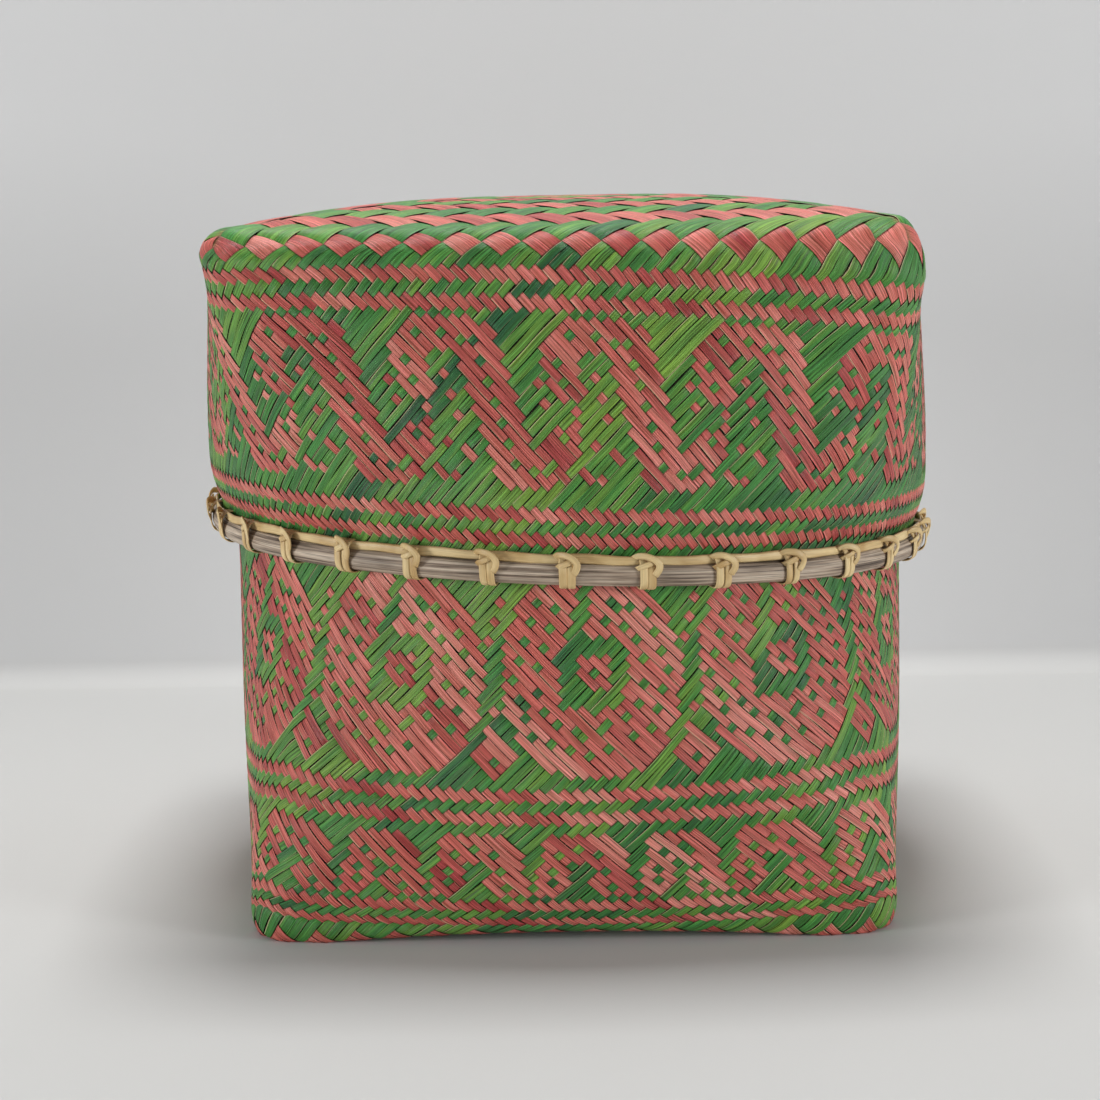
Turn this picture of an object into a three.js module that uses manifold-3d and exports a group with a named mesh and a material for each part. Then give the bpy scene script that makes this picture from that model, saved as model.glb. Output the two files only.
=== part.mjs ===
// Woven bamboo box: a square plaited base and a deep plaited lid that lifts straight off it.
// Millimetres, +Z up, origin on the floor under the middle of the box.
import * as THREE from 'three';
import { mergeVertices } from 'three/addons/utils/BufferGeometryUtils.js';
import Module from 'manifold-3d';

const wasm = await Module();
wasm.setup();

// Fits
const fitGap = 0.3;
const lashingGap = 0.4;
const seatGap = 0.3;

// Plaited shells
const weaveThickness = 1.2;
const liningThickness = 0.7;

// Split bamboo hoops and the rattan strand that lashes them
const outerHoopHeight = 7;
const outerHoopThickness = 3;
const innerHoopThickness = 1.5;
const hoopShoulder = 0.25;
const scarfStep = 1;
const strandThickness = 0.6;
const knotWidth = 6.5;
const runningStrandHeight = 2.8;
const runningStrandWidth = 1.4;
const lidKnots = 32;
const baseKnots = 16;

// Lid, from its rim up to its top. At the rim the square has become almost round: its sides' radius is
// a little over its half-width, and its corners' radius a little under.
const lidRimHalfWidth = 124;
const rimSideBow = 6;
const rimCornerCut = 22;
const lidBellySwell = 3.5;
const lidTopHalfWidth = 119.5;
const lidTopCornerRadius = 17;
const lidTopSideRadius = 1000;
const lidRimHeight = 120.5;
const lidBellyRise = 26;
const lidShoulderHeight = 231.5;
const lidShoulderRadius = 10;
const lidCrown = 8;
const lidCrownPower = 3;
const lidCornerSag = 4.5;
const lidCornerLift = 0.8;
const lidLean = 0.045;

// Base, from the floor up to its hidden rim
const baseFootHalfWidth = 111.5;
const baseWaistInset = 5.5;
const baseRimInset = 9.5;
const baseFootCornerRadius = 18;
const baseFootSideRadius = 1000;
const baseHeelRadius = 2.7;
const baseTaperPower = 3.8;
const baseCornerRise = 9;
const baseEdgeLift = 3.7;
const baseEdgeLiftReach = 50;
const baseFloorRise = 5;
const footPadShare = 0.76;

// Facets round an eighth of a plan, and rings up a shell
const sideSteps = 3;
const cornerSteps = 3;
const shoulderSteps = 3;
const lidTopRings = [0.78, 0.45];
const baseWallRings = [0, 0.18, 0.4, 1];
const heelSteps = 2;
const weldTolerance = 1e-4;

const eighthTurn = Math.PI / 4;
const quarterTurn = Math.PI / 2;
const mix = THREE.MathUtils.lerp;

// A plan is a square with bowed sides: its half-width, side radius and corner radius
function plan(half, side, corner) {
  const back = side - half;
  const reach = side - corner;
  const centre = (Math.sqrt(2 * reach * reach - back * back) - back) / 2;
  return { half, side, corner, centre, turn: Math.atan2(centre, centre + back) };
}

function offsetPlan(base, distance) {
  return plan(base.half + distance, base.side + distance, base.corner + distance);
}

// Side curvature and corner radius blend, so that a wall turns steadily from square to round
function blendPlan(from, to, share, half) {
  const side = 1 / mix(1 / from.side, 1 / to.side, share);
  return plan(half, side, mix(from.corner, to.corner, share));
}

function planPoint(outline, angle) {
  const quarter = Math.round(angle / quarterTurn);
  const local = angle - quarter * quarterTurn;
  const onSide = Math.abs(local) <= outline.turn;
  const radius = onSide ? outline.side : outline.corner;
  const middle = onSide
    ? new THREE.Vector2(outline.half - outline.side, 0)
    : new THREE.Vector2(outline.centre, Math.sign(local) * outline.centre);
  const point = new THREE.Vector2(Math.cos(local), Math.sin(local)).multiplyScalar(radius).add(middle);
  return point.rotateAround(new THREE.Vector2(), quarter * quarterTurn);
}

// The directions in which a plan's facets meet, all the way round
function planAngles(outline) {
  const eighth = [];
  for (let step = 0; step < sideSteps; step += 1) {
    eighth.push((outline.turn * step) / sideSteps);
  }
  for (let step = 0; step < cornerSteps; step += 1) {
    eighth.push(mix(outline.turn, eighthTurn, step / cornerSteps));
  }
  const quarter = [...eighth, eighthTurn, ...eighth.slice(1).reverse().map((angle) => quarterTurn - angle)];
  return [0, 1, 2, 3].flatMap((side) => quarter.map((angle) => angle + side * quarterTurn));
}

// 0 at the middle of a side and 1 on the diagonal
function cornerShare(point) {
  const across = Math.min(Math.abs(point.x), Math.abs(point.y));
  const along = Math.max(Math.abs(point.x), Math.abs(point.y));
  return along === 0 ? 0 : (across / along) ** 2;
}

// A quarter turn in steps, without its start
function turns(steps) {
  return Array.from({ length: steps }, (_, step) => (quarterTurn * (step + 1)) / steps);
}

function ring(outline, height, scale = 1) {
  return planAngles(outline).map((angle) => {
    const point = planPoint(outline, angle).multiplyScalar(scale);
    return new THREE.Vector3(point.x, point.y, height(point));
  });
}

// Skins neighbouring rings of points, with single points as poles, into one closed body. The first rows of
// a shell are split along the other diagonal, so that its two faces have the same facets.
function loft(rings, closed = false, crossedRows = 0) {
  const positions = rings.flat().flatMap((point) => point.toArray());
  const starts = [];
  let count = 0;
  for (const points of rings) {
    starts.push(count);
    count += points.length;
  }
  const triangles = [];
  const last = closed ? rings.length : rings.length - 1;
  for (let row = 0; row < last; row += 1) {
    const next = (row + 1) % rings.length;
    const columns = Math.max(rings[row].length, rings[next].length);
    for (let column = 0; column < columns; column += 1) {
      const [a, b] = [column, column + 1].map((index) => starts[row] + (index % rings[row].length));
      const [c, d] = [column, column + 1].map((index) => starts[next] + (index % rings[next].length));
      const crossed = row < crossedRows;
      if (rings[row].length > 1) triangles.push(a, b, crossed ? c : d);
      if (rings[next].length > 1) triangles.push(crossed ? b : a, d, c);
    }
  }
  return facingOut(positions, triangles);
}

function facingOut(positions, triangles) {
  const corner = (index) => new THREE.Vector3().fromArray(positions, 3 * triangles[index]);
  let volume = 0;
  for (let index = 0; index < triangles.length; index += 3) {
    volume += corner(index).dot(corner(index + 1).cross(corner(index + 2)));
  }
  const geometry = new THREE.BufferGeometry();
  geometry.setAttribute('position', new THREE.Float32BufferAttribute(positions, 3));
  geometry.setIndex(volume < 0 ? [...triangles].reverse() : triangles);
  return geometry;
}

function toSolid(geometry) {
  const bare = geometry.clone();
  bare.deleteAttribute('normal');
  bare.deleteAttribute('uv');
  const merged = mergeVertices(bare, weldTolerance);
  const vertProperties = new Float32Array(merged.attributes.position.array);
  const triVerts = new Uint32Array(merged.index.array);
  return new wasm.Manifold(new wasm.Mesh({ numProp: 3, vertProperties, triVerts }));
}

function toGeometry(solid) {
  const mesh = solid.getMesh();
  const geometry = new THREE.BufferGeometry();
  geometry.setAttribute('position', new THREE.Float32BufferAttribute(mesh.vertProperties, 3));
  geometry.setIndex(Array.from(mesh.triVerts));
  return geometry;
}

// The lid's wall and rim lean, and drop towards +X, below a level top
function leanLid(geometry) {
  const position = geometry.attributes.position;
  for (let index = 0; index < position.count; index += 1) {
    position.setZ(index, position.getZ(index) - lidLean * position.getX(index));
  }
  return geometry;
}

function standLevel(geometry) {
  return geometry;
}

// Rims: what is clamped between the hoops, outwards (+) and inwards (-) from the weave's outer face
const lidRimPlan = plan(lidRimHalfWidth, lidRimHalfWidth + rimSideBow, lidRimHalfWidth - rimCornerCut);
const baseRimHalfWidth = Math.min(lidRimHalfWidth, lidTopHalfWidth) - baseRimInset;
const baseWaistPlan = offsetPlan(lidRimPlan, -baseWaistInset);
const baseRimPlan = offsetPlan(lidRimPlan, baseRimHalfWidth - lidRimHalfWidth);
const liningOuter = -weaveThickness - fitGap;
const liningInner = liningOuter - liningThickness;
const innerHoopOuter = liningInner - fitGap;
const innerHoopInner = innerHoopOuter - innerHoopThickness;
const outerHoopInner = fitGap;
const outerHoopOuter = outerHoopInner + outerHoopThickness;
const knotOuter = outerHoopOuter + lashingGap;
const knotInner = innerHoopInner - lashingGap;
const knotHeight = outerHoopHeight + 2 * lashingGap;
const knotReach = knotOuter + strandThickness;
const clampReach = outerHoopHeight + lashingGap + runningStrandHeight + fitGap;

// Lid walls, shoulder and domed top
const lidTopPlan = plan(lidTopHalfWidth, lidTopSideRadius, lidTopCornerRadius);
const lidClampHeight = lidRimHeight + clampReach;
const lidBellyHeight = lidRimHeight + lidBellyRise;
const lidBellyHalfWidth = lidRimHalfWidth + lidBellySwell;
const lidWallTop = lidShoulderHeight - lidShoulderRadius;

function lidHalfWidth(height) {
  if (height <= lidClampHeight) return lidRimHalfWidth;
  if (height <= lidBellyHeight) {
    const share = (lidBellyHeight - height) / (lidBellyHeight - lidClampHeight);
    return mix(lidBellyHalfWidth, lidRimHalfWidth, share ** 2);
  }
  const share = (height - lidBellyHeight) / (lidWallTop - lidBellyHeight);
  return mix(lidBellyHalfWidth, lidTopHalfWidth, share ** 2);
}

function lidWallRing(height, inset) {
  const share = Math.max(0, (height - lidClampHeight) / (lidWallTop - lidClampHeight));
  const outline = blendPlan(lidRimPlan, lidTopPlan, share, lidHalfWidth(height));
  const sag = share * lidCornerSag;
  return ring(offsetPlan(outline, -inset), (point) => height - sag * cornerShare(point) - lidLean * point.x);
}

function lidShoulderRing(angle, inset) {
  const radius = lidShoulderRadius - inset;
  const outline = offsetPlan(lidTopPlan, radius * Math.cos(angle) - lidShoulderRadius);
  const height = lidWallTop + radius * Math.sin(angle);
  const bend = mix(-lidCornerSag, lidCornerLift, Math.sin(angle));
  const lean = lidLean * (1 - Math.sin(angle));
  return ring(outline, (point) => height + bend * cornerShare(point) - lean * point.x);
}

function lidTopRing(scale, inset) {
  const outline = offsetPlan(lidTopPlan, -lidShoulderRadius);
  const height = lidShoulderHeight - inset + lidCrown * (1 - scale ** lidCrownPower);
  return ring(outline, (point) => height + lidCornerLift * scale ** 4 * cornerShare(point), scale);
}

function lidSurface(inset) {
  const midWall = (lidBellyHeight + lidWallTop) / 2;
  const walls = [lidRimHeight, lidClampHeight, lidBellyHeight, midWall, lidWallTop];
  return [
    ...walls.map((height) => lidWallRing(height, inset)),
    ...turns(shoulderSteps).map((angle) => lidShoulderRing(angle, inset)),
    ...lidTopRings.map((scale) => lidTopRing(scale, inset)),
    [new THREE.Vector3(0, 0, lidShoulderHeight + lidCrown - inset)],
  ];
}

// How high the lining's shoulder facets are above the wall's top, by distance out from the shoulder's middle
function ceilingRise(run) {
  const angles = [0, ...turns(shoulderSteps)];
  const within = Math.min(run, ceilingRadius);
  const next = angles.findIndex((angle, step) => step > 0 && ceilingRadius * Math.cos(angle) <= within);
  const high = next > 0 ? angles[next] : quarterTurn;
  const low = next > 0 ? angles[next - 1] : quarterTurn;
  const width = Math.cos(low) - Math.cos(high);
  const share = width > 0 ? (Math.cos(low) - within / ceilingRadius) / width : 1;
  return ceilingRadius * mix(Math.sin(low), Math.sin(high), share);
}

// Base rim height: its knots come up to the lid's ceiling where the shoulder and the lean bring it lowest
const ceilingInset = -liningInner;
const ceilingRadius = lidShoulderRadius - ceilingInset;
const baseKnotHalfWidth = baseRimHalfWidth + knotReach;
const shoulderRun = Math.max(0, baseKnotHalfWidth - (lidTopHalfWidth - lidShoulderRadius));
const ceilingDrop = lidLean * baseKnotHalfWidth * (1 - ceilingRise(shoulderRun) / ceilingRadius);
const ceilingHeight = lidWallTop + ceilingRise(shoulderRun) - ceilingDrop;
const baseRimHeight = ceilingHeight - seatGap - strandThickness - lashingGap;
const lidLowPoint = lidRimHeight - lashingGap - strandThickness - lidLean * (lidRimHalfWidth + knotReach);
const baseWaistHeight = lidLowPoint - fitGap;
const baseClampHeight = baseRimHeight - clampReach;

// Base walls, heel and raised floor
const baseFootPlan = plan(baseFootHalfWidth, baseFootSideRadius, baseFootCornerRadius);

function baseWallRing(height, inset) {
  if (height > baseWaistHeight) {
    const share = Math.min(1, (height - baseWaistHeight) / (baseClampHeight - baseWaistHeight));
    const drop = (baseWaistPlan.half - baseRimHalfWidth) * share ** 2;
    return ring(offsetPlan(baseWaistPlan, -drop - inset), () => height);
  }
  const share = (height - baseHeelRadius) / (baseWaistHeight - baseHeelRadius);
  const half = mix(baseWaistPlan.half, baseFootHalfWidth, (1 - share) ** baseTaperPower);
  const lift = baseEdgeLift * Math.max(0, 1 - (height - baseHeelRadius) / baseEdgeLiftReach);
  const rise = baseCornerRise * (1 - share);
  const outline = offsetPlan(blendPlan(baseFootPlan, baseWaistPlan, share, half), -inset);
  return ring(outline, (point) => height + lift * footLift(point) + rise * cornerShare(point));
}

// 1 at the middle of an edge and 0 over the flat pad at a corner
function footLift(point) {
  return 1 - Math.min(1, cornerShare(point) / footPadShare ** 2);
}

function baseHeelRing(angle, inset) {
  const radius = baseHeelRadius - inset;
  const outline = offsetPlan(baseFootPlan, radius * Math.cos(angle) - baseHeelRadius);
  const height = baseHeelRadius - radius * Math.sin(angle);
  const rise = baseCornerRise * (1 - Math.sin(angle));
  return ring(outline, (point) => height + baseEdgeLift * footLift(point) + rise * cornerShare(point));
}

function baseFloorRing(scale, inset) {
  const outline = offsetPlan(baseFootPlan, -baseHeelRadius);
  const rise = baseFloorRise * (1 - (scale / footPadShare) ** 2);
  const height = (point) => inset + Math.max(0, rise) + baseEdgeLift * scale ** 2 * footLift(point);
  return ring(outline, height, scale);
}

function baseSurface(inset) {
  const visibleWall = baseWallRings.map((share) => mix(baseHeelRadius, baseWaistHeight, share));
  const hiddenWall = [(baseWaistHeight + baseClampHeight) / 2, baseClampHeight, baseRimHeight];
  return [
    ...[...visibleWall, ...hiddenWall].reverse().map((height) => baseWallRing(height, inset)),
    ...turns(heelSteps).map((angle) => baseHeelRing(angle, inset)),
    baseFloorRing(footPadShare, inset),
    baseFloorRing(footPadShare / 2, inset),
    [new THREE.Vector3(0, 0, baseFloorRise + inset)],
  ];
}

// A shell's skin from the pole of one face over the rim to the pole of the other
function shell(surface, outerInset, innerInset) {
  const outer = surface(outerInset).reverse();
  return loft([...outer, ...surface(innerInset)], false, outer.length - 1);
}

// The point at a distance along a ring's facets
function alongRing(corners, distance) {
  let left = distance;
  let facet = 0;
  let length = corners[0].distanceTo(corners[1]);
  while (left > length) {
    left -= length;
    facet += 1;
    length = corners[facet % corners.length].distanceTo(corners[(facet + 1) % corners.length]);
  }
  const from = corners[facet % corners.length];
  return from.clone().lerp(corners[(facet + 1) % corners.length], left / length);
}

// Where each knot of a rim stands, evenly spaced with one at the middle of each side, and which way it faces
function knotPlaces(outline, count) {
  const corners = ring(outline, () => 0);
  const total = corners.reduce((sum, corner, index) => sum + corner.distanceTo(corners.at(index - 1)), 0);
  return Array.from({ length: count }, (_, knot) => {
    const distance = total * (1 + knot / count);
    const from = alongRing(corners, distance - knotWidth / 2);
    const to = alongRing(corners, distance + knotWidth / 2);
    const point = from.clone().add(to).divideScalar(2);
    return { point, facing: Math.atan2(from.x - to.x, to.y - from.y) };
  });
}

// A bar across a rim at a knot, drawn as distance out from the weave against height
function acrossRim(shape, width, place) {
  const geometry = new THREE.ExtrudeGeometry(shape, { depth: width, bevelEnabled: false, steps: 1 });
  geometry.translate(0, 0, -width / 2);
  geometry.rotateX(quarterTurn);
  geometry.rotateZ(place.facing);
  geometry.translate(place.point.x, place.point.y, 0);
  return geometry;
}

function rectangle(left, right, heightA, heightB) {
  const bottom = Math.min(heightA, heightB);
  const top = Math.max(heightA, heightB);
  return new THREE.Shape([
    new THREE.Vector2(left, bottom),
    new THREE.Vector2(right, bottom),
    new THREE.Vector2(right, top),
    new THREE.Vector2(left, top),
  ]);
}

// A strand wrapped round both hoops and the wall; way is +1 where the wall goes up from its rim, else -1
function knotLoop(place, rimHeight, way) {
  const near = rimHeight - way * lashingGap;
  const far = near + way * knotHeight;
  const outside = [near - way * strandThickness, far + way * strandThickness];
  const loop = rectangle(knotInner - strandThickness, knotOuter + strandThickness, ...outside);
  loop.holes.push(rectangle(knotInner, knotOuter, near, far));
  return acrossRim(loop, knotWidth, place);
}

// The holes that the strand passes through beyond the hoops, with its clearance
function cutKnotHoles(geometry, outline, count, rimHeight, way, settle) {
  const near = rimHeight + way * (knotHeight - lashingGap - fitGap);
  const far = near + way * (strandThickness + 2 * fitGap);
  const hole = rectangle(knotInner, knotOuter, near, far);
  let solid = toSolid(geometry);
  for (const place of knotPlaces(outline, count)) {
    solid = solid.subtract(toSolid(settle(acrossRim(hole, knotWidth + 2 * fitGap, place))));
  }
  return toGeometry(solid);
}

// The strand runs round on the outer hoop's edge between its knots
function lashing(outline, count, rimHeight, way) {
  const near = rimHeight + way * (outerHoopHeight + lashingGap);
  const far = near + way * runningStrandHeight;
  const inside = offsetPlan(outline, outerHoopInner + fitGap);
  const outside = offsetPlan(inside, runningStrandWidth);
  const run = [[inside, near], [outside, near], [outside, far], [inside, far]];
  let solid = toSolid(loft(run.map(([edge, height]) => ring(edge, () => height)), true));
  for (const place of knotPlaces(outline, count)) {
    solid = solid.add(toSolid(knotLoop(place, rimHeight, way)));
  }
  return toGeometry(solid);
}

// A hoop bent from one strip whose thinned ends lap for a facet each side of the middle of the back
function hoop(outline, inner, outer, shoulder, rimHeight, way) {
  const middle = (inner + outer) / 2;
  const facets = planAngles(outline).length;
  const step = scarfStep / ring(outline, () => 0)[0].distanceTo(ring(outline, () => 0)[1]);
  const innerHalf = [inner, middle - fitGap / 2];
  const outerHalf = [middle + fitGap / 2, outer];
  const full = [inner, outer];
  const stations = [[step - 1, innerHalf], [0, innerHalf], [1, innerHalf], [1 + step, full]];
  for (let facet = 2; facet < facets - 1; facet += 1) {
    stations.push([facet, full]);
  }
  stations.push([facets - 1 - step, full], [facets - 1, outerHalf], [facets, outerHalf]);
  stations.push([facets + 1 - step, outerHalf]);
  const sections = stations.map(([station, faces]) => (
    hoopSection(outline, station + facets / 4, faces, shoulder, rimHeight, way)
  ));
  const cap = (points) => [points.reduce((sum, point) => sum.add(point), new THREE.Vector3())
    .divideScalar(points.length)];
  return loft([cap(sections[0]), ...sections, cap(sections.at(-1))]);
}

// A hoop's section, flat towards the wall, with its outer corners taken off by a share of its size
function hoopSection(outline, station, [inner, outer], shoulder, rimHeight, way) {
  const edge = rimHeight;
  const back = edge + way * outerHoopHeight;
  const cut = shoulder * outerHoopHeight * way;
  const flat = mix(outer, inner, shoulder);
  const corners = shoulder > 0
    ? [[inner, edge], [flat, edge], [outer, edge + cut], [outer, back - cut], [flat, back], [inner, back]]
    : [[inner, edge], [outer, edge], [outer, back], [inner, back]];
  return corners.map(([distance, height]) => {
    const points = ring(offsetPlan(outline, distance), () => height);
    const facet = Math.floor(station);
    const from = points[(facet + points.length) % points.length];
    return from.clone().lerp(points[(facet + 1) % points.length], station - facet);
  });
}

const weaveRoughness = 0.55;
const bambooRoughness = 0.6;
const strandRoughness = 0.5;
const green = new THREE.Color(0.2, 0.42, 0.2);
const pink = new THREE.Color(0.72, 0.28, 0.3);
const plainBamboo = new THREE.Color(0.72, 0.6, 0.38);
const hoopBrown = new THREE.Color(0.45, 0.38, 0.3);
const strandTan = new THREE.Color(0.78, 0.66, 0.42);

const lid = new THREE.Group();
const base = new THREE.Group();

function addPiece(group, name, geometry, color, roughness) {
  geometry.computeVertexNormals();
  const mesh = new THREE.Mesh(geometry, new THREE.MeshStandardMaterial({ color, roughness, metalness: 0 }));
  mesh.name = name;
  group.add(mesh);
}

// Each half of the box is a weave, its lining, two hoops and the lashing that binds them at the rim
function addHalf(group, name, surface, outline, rimHeight, way, knots, color, settle) {
  const weave = shell(surface, 0, weaveThickness);
  const lining = shell(surface, -liningOuter, -liningInner);
  const cut = (geometry) => cutKnotHoles(geometry, outline, knots, rimHeight, way, settle);
  const outerHoop = hoop(outline, outerHoopInner, outerHoopOuter, hoopShoulder, rimHeight, way);
  const innerHoop = hoop(outline, innerHoopInner, innerHoopOuter, 0, rimHeight, way);
  addPiece(group, `${name}_weave`, cut(weave), color, weaveRoughness);
  addPiece(group, `${name}_lining`, cut(lining), plainBamboo, bambooRoughness);
  addPiece(group, `${name}_outer_hoop`, settle(outerHoop), hoopBrown, bambooRoughness);
  addPiece(group, `${name}_inner_hoop`, settle(innerHoop), hoopBrown, bambooRoughness);
  const strand = lashing(outline, knots, rimHeight, way);
  addPiece(group, `${name}_lashing`, settle(strand), strandTan, strandRoughness);
}

addHalf(lid, 'lid', lidSurface, lidRimPlan, lidRimHeight, 1, lidKnots, green, leanLid);
addHalf(base, 'base', baseSurface, baseRimPlan, baseRimHeight, -1, baseKnots, pink, standLevel);

const box = new THREE.Group();
box.add(base, lid);
export default box;
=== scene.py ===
"""A woven bamboo box with a deep lid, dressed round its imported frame.

Run as a script. Lengths are in millimetres until a mesh is made, and the frame's metres after that.
"""
import math

import bpy
import numpy as np
from mathutils import Matrix, Vector


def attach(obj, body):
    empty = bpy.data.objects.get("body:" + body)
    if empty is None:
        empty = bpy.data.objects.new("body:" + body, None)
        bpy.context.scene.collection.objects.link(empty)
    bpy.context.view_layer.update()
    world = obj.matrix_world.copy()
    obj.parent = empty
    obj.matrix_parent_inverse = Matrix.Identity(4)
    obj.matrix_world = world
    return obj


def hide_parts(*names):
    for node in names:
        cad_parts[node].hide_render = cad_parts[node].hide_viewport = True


bl_info = {
    "name": "Woven bamboo box",
    "version": (1, 0, 0),
    "blender": (4, 5, 0),
    "location": "View3D > Sidebar > Woven box",
    "description": "Plaited bamboo box with a lashed lid",
    "category": "Object",
}

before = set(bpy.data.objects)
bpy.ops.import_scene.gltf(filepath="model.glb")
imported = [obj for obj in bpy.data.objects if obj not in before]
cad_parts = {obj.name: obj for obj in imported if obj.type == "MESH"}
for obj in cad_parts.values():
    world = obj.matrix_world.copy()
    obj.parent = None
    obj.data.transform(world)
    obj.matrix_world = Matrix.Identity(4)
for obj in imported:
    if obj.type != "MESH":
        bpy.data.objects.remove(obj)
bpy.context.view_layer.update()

MM = 0.001
QUARTER = math.pi / 2
EIGHTH = math.pi / 4

# The lid's and the base's shapes, as in the frame
RIM_SIDE_RADIUS = 130.0
RIM_CORNER_RADIUS = 102.0
LID_RIM_HALF = 124.0
LID_BELLY_HALF = 127.5
LID_TOP_HALF = 119.5
LID_TOP_CORNER_RADIUS = 17.0
FLAT_SIDE_RADIUS = 1000.0
LID_RIM = 120.5
LID_CLAMP = 131.0
LID_BELLY = 146.5
LID_WALL_TOP = 221.5
LID_SHOULDER_RADIUS = 10.0
LID_CROWN = 8.0
LID_CROWN_POWER = 3.0
LID_SAG = 4.5
LID_LIFT = 0.8
LID_LEAN = 0.045
BASE_FOOT_HALF = 111.5
BASE_WAIST_HALF = 118.5
BASE_WAIST_INSET = 5.5
BASE_RIM_HALF = 110.0
BASE_FOOT_CORNER_RADIUS = 18.0
BASE_HEEL = 2.7
BASE_TAPER_POWER = 3.8
BASE_WAIST = 113.6
BASE_RIM = 224.77
BASE_CLAMP = BASE_RIM - 10.5
BASE_CORNER_RISE = 9.0
BASE_EDGE_LIFT = 3.7
BASE_EDGE_LIFT_REACH = 50.0
BASE_FLOOR_RISE = 5.0
FOOT_PAD = 0.76

# A point within the box, which outward directions lead away from
INSIDE = np.array([0, 0, 115.0])

# The plaiting: strands narrow on the walls, and three to a wide strip on the top and bottom
SPLIT = 3
WEAVE_MIDDLE = -0.5
LINING_MIDDLE = -1.85
LINING_SWING = 0.16
LINING_HALF_WIDTH = SPLIT / 2 - 0.06
LINING_CROWN = 0.12
LINING_THICKNESS = 0.2
WIDE_SWING = 0.5
NARROW_SWING = 0.34
CELL_SAMPLES = (0.2, 0.8)
STRAND_PITCH = 4.0
WALL_GAP = 0.4
FACE_GAP = 0.36
STRIP_THICKNESS = 0.22
STRAND_CROWN = 0.06
STRIP_CROWN = 0.2

# A strand lies a little higher in the middle of a float, and lower at the cells where it turns
FLOAT_RISE = 0.12
TURN_EASE = 0.8

# How many rows below the edge the walls' own strands start, where the wide strips' ends go under
FIRST_GREEN_ROW = 5
FIRST_PINK_ROW = 3

# The share of wide strips that took the dye unlike the others
ODD_STRIPS = 0.07

# Where the four faces of a strand lie across its row of the bake map
BAKE_EDGES = np.array([0.04, 0.4, 0.76, 0.88, 0.98])


def mix(a, b, share):
    return a + (b - a) * share


def smooth(low, high, value):
    share = np.clip((value - low) / (high - low), 0, 1)
    return share * share * (3 - 2 * share)


def running(steps):
    """How far along each point lies, from the steps between the points."""
    return np.concatenate([np.zeros((*steps.shape[:-1], 1)), np.cumsum(steps, axis=-1)], axis=-1)


# Shapes


def plan_point(half, side, corner, share):
    """The point at a share of the way, by length, from the middle of a bowed side (0) to its corner (1)."""
    back = side - half
    reach = side - corner
    centre = (np.sqrt(2 * reach**2 - back**2) - back) / 2
    turn = np.arctan2(centre, centre + back)
    side_run = side * turn
    corner_run = corner * (EIGHTH - turn)
    run = np.abs(share) * (side_run + corner_run)
    on_side = run <= side_run
    angle = np.where(on_side, run / side, turn + (run - side_run) / corner)
    out = np.where(on_side, half - side + side * np.cos(angle), centre + corner * np.cos(angle))
    across = np.where(on_side, side * np.sin(angle), centre + corner * np.sin(angle))
    return out, across * np.sign(share)


def turned(out, across, angle):
    """A place on a side, turned round the box's middle."""
    return out * np.cos(angle) - across * np.sin(angle), out * np.sin(angle) + across * np.cos(angle)


def blend_plan(start, end, share, half):
    """A plan between two others, with its own half width. The bow is blended by how much it curves."""
    side = 1 / mix(1 / start[1], 1 / end[1], share)
    return half, side, mix(start[2], end[2], share)


LID_RIM_PLAN = (LID_RIM_HALF, RIM_SIDE_RADIUS, RIM_CORNER_RADIUS)
LID_TOP_PLAN = (LID_TOP_HALF, FLAT_SIDE_RADIUS, LID_TOP_CORNER_RADIUS)
BASE_FOOT_PLAN = (BASE_FOOT_HALF, FLAT_SIDE_RADIUS, BASE_FOOT_CORNER_RADIUS)
BASE_WAIST_PLAN = tuple(size - BASE_WAIST_INSET for size in LID_RIM_PLAN)
BASE_RIM_PLAN = tuple(size - (LID_RIM_HALF - BASE_RIM_HALF) for size in LID_RIM_PLAN)


def corner_share(out, across):
    """0 on the middle line of a side, and 1 on the diagonal to a corner."""
    out, across = np.abs(out), np.abs(across)
    return (np.minimum(out, across) / np.maximum(np.maximum(out, across), 1e-6)) ** 2


def lid_point(arc, share):
    """Outward, across, up and lean on the lid. arc is height, then the run over the shoulder and top."""
    height = np.minimum(arc, LID_WALL_TOP)
    rise = np.clip((height - LID_CLAMP) / (LID_WALL_TOP - LID_CLAMP), 0, 1)
    low = np.clip((LID_BELLY - height) / (LID_BELLY - LID_CLAMP), 0, 1)
    high = np.clip((height - LID_BELLY) / (LID_WALL_TOP - LID_BELLY), 0, 1)
    half = LID_BELLY_HALF - (LID_BELLY_HALF - LID_RIM_HALF) * low**2
    half = half - (LID_BELLY_HALF - LID_TOP_HALF) * high**2
    half, side, corner = blend_plan(LID_RIM_PLAN, LID_TOP_PLAN, rise, half)
    angle = np.clip((arc - LID_WALL_TOP) / LID_SHOULDER_RADIUS, 0, QUARTER)
    inset = LID_SHOULDER_RADIUS * (1 - np.cos(angle))
    run = np.maximum(0, arc - LID_WALL_TOP - LID_SHOULDER_RADIUS * QUARTER)
    scale = np.maximum(0, 1 - run / (LID_TOP_HALF - LID_SHOULDER_RADIUS))
    out, across = plan_point(half - inset, side - inset, corner - inset, share)
    out, across = out * scale, across * scale
    sine = np.sin(angle)
    up = height + LID_SHOULDER_RADIUS * sine + LID_CROWN * (1 - scale**LID_CROWN_POWER)
    bend = (LID_LIFT * scale**4 * sine - LID_SAG * rise * (1 - sine)) * corner_share(out, across)
    return out, across, up + bend, LID_LEAN * (1 - sine)


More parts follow.
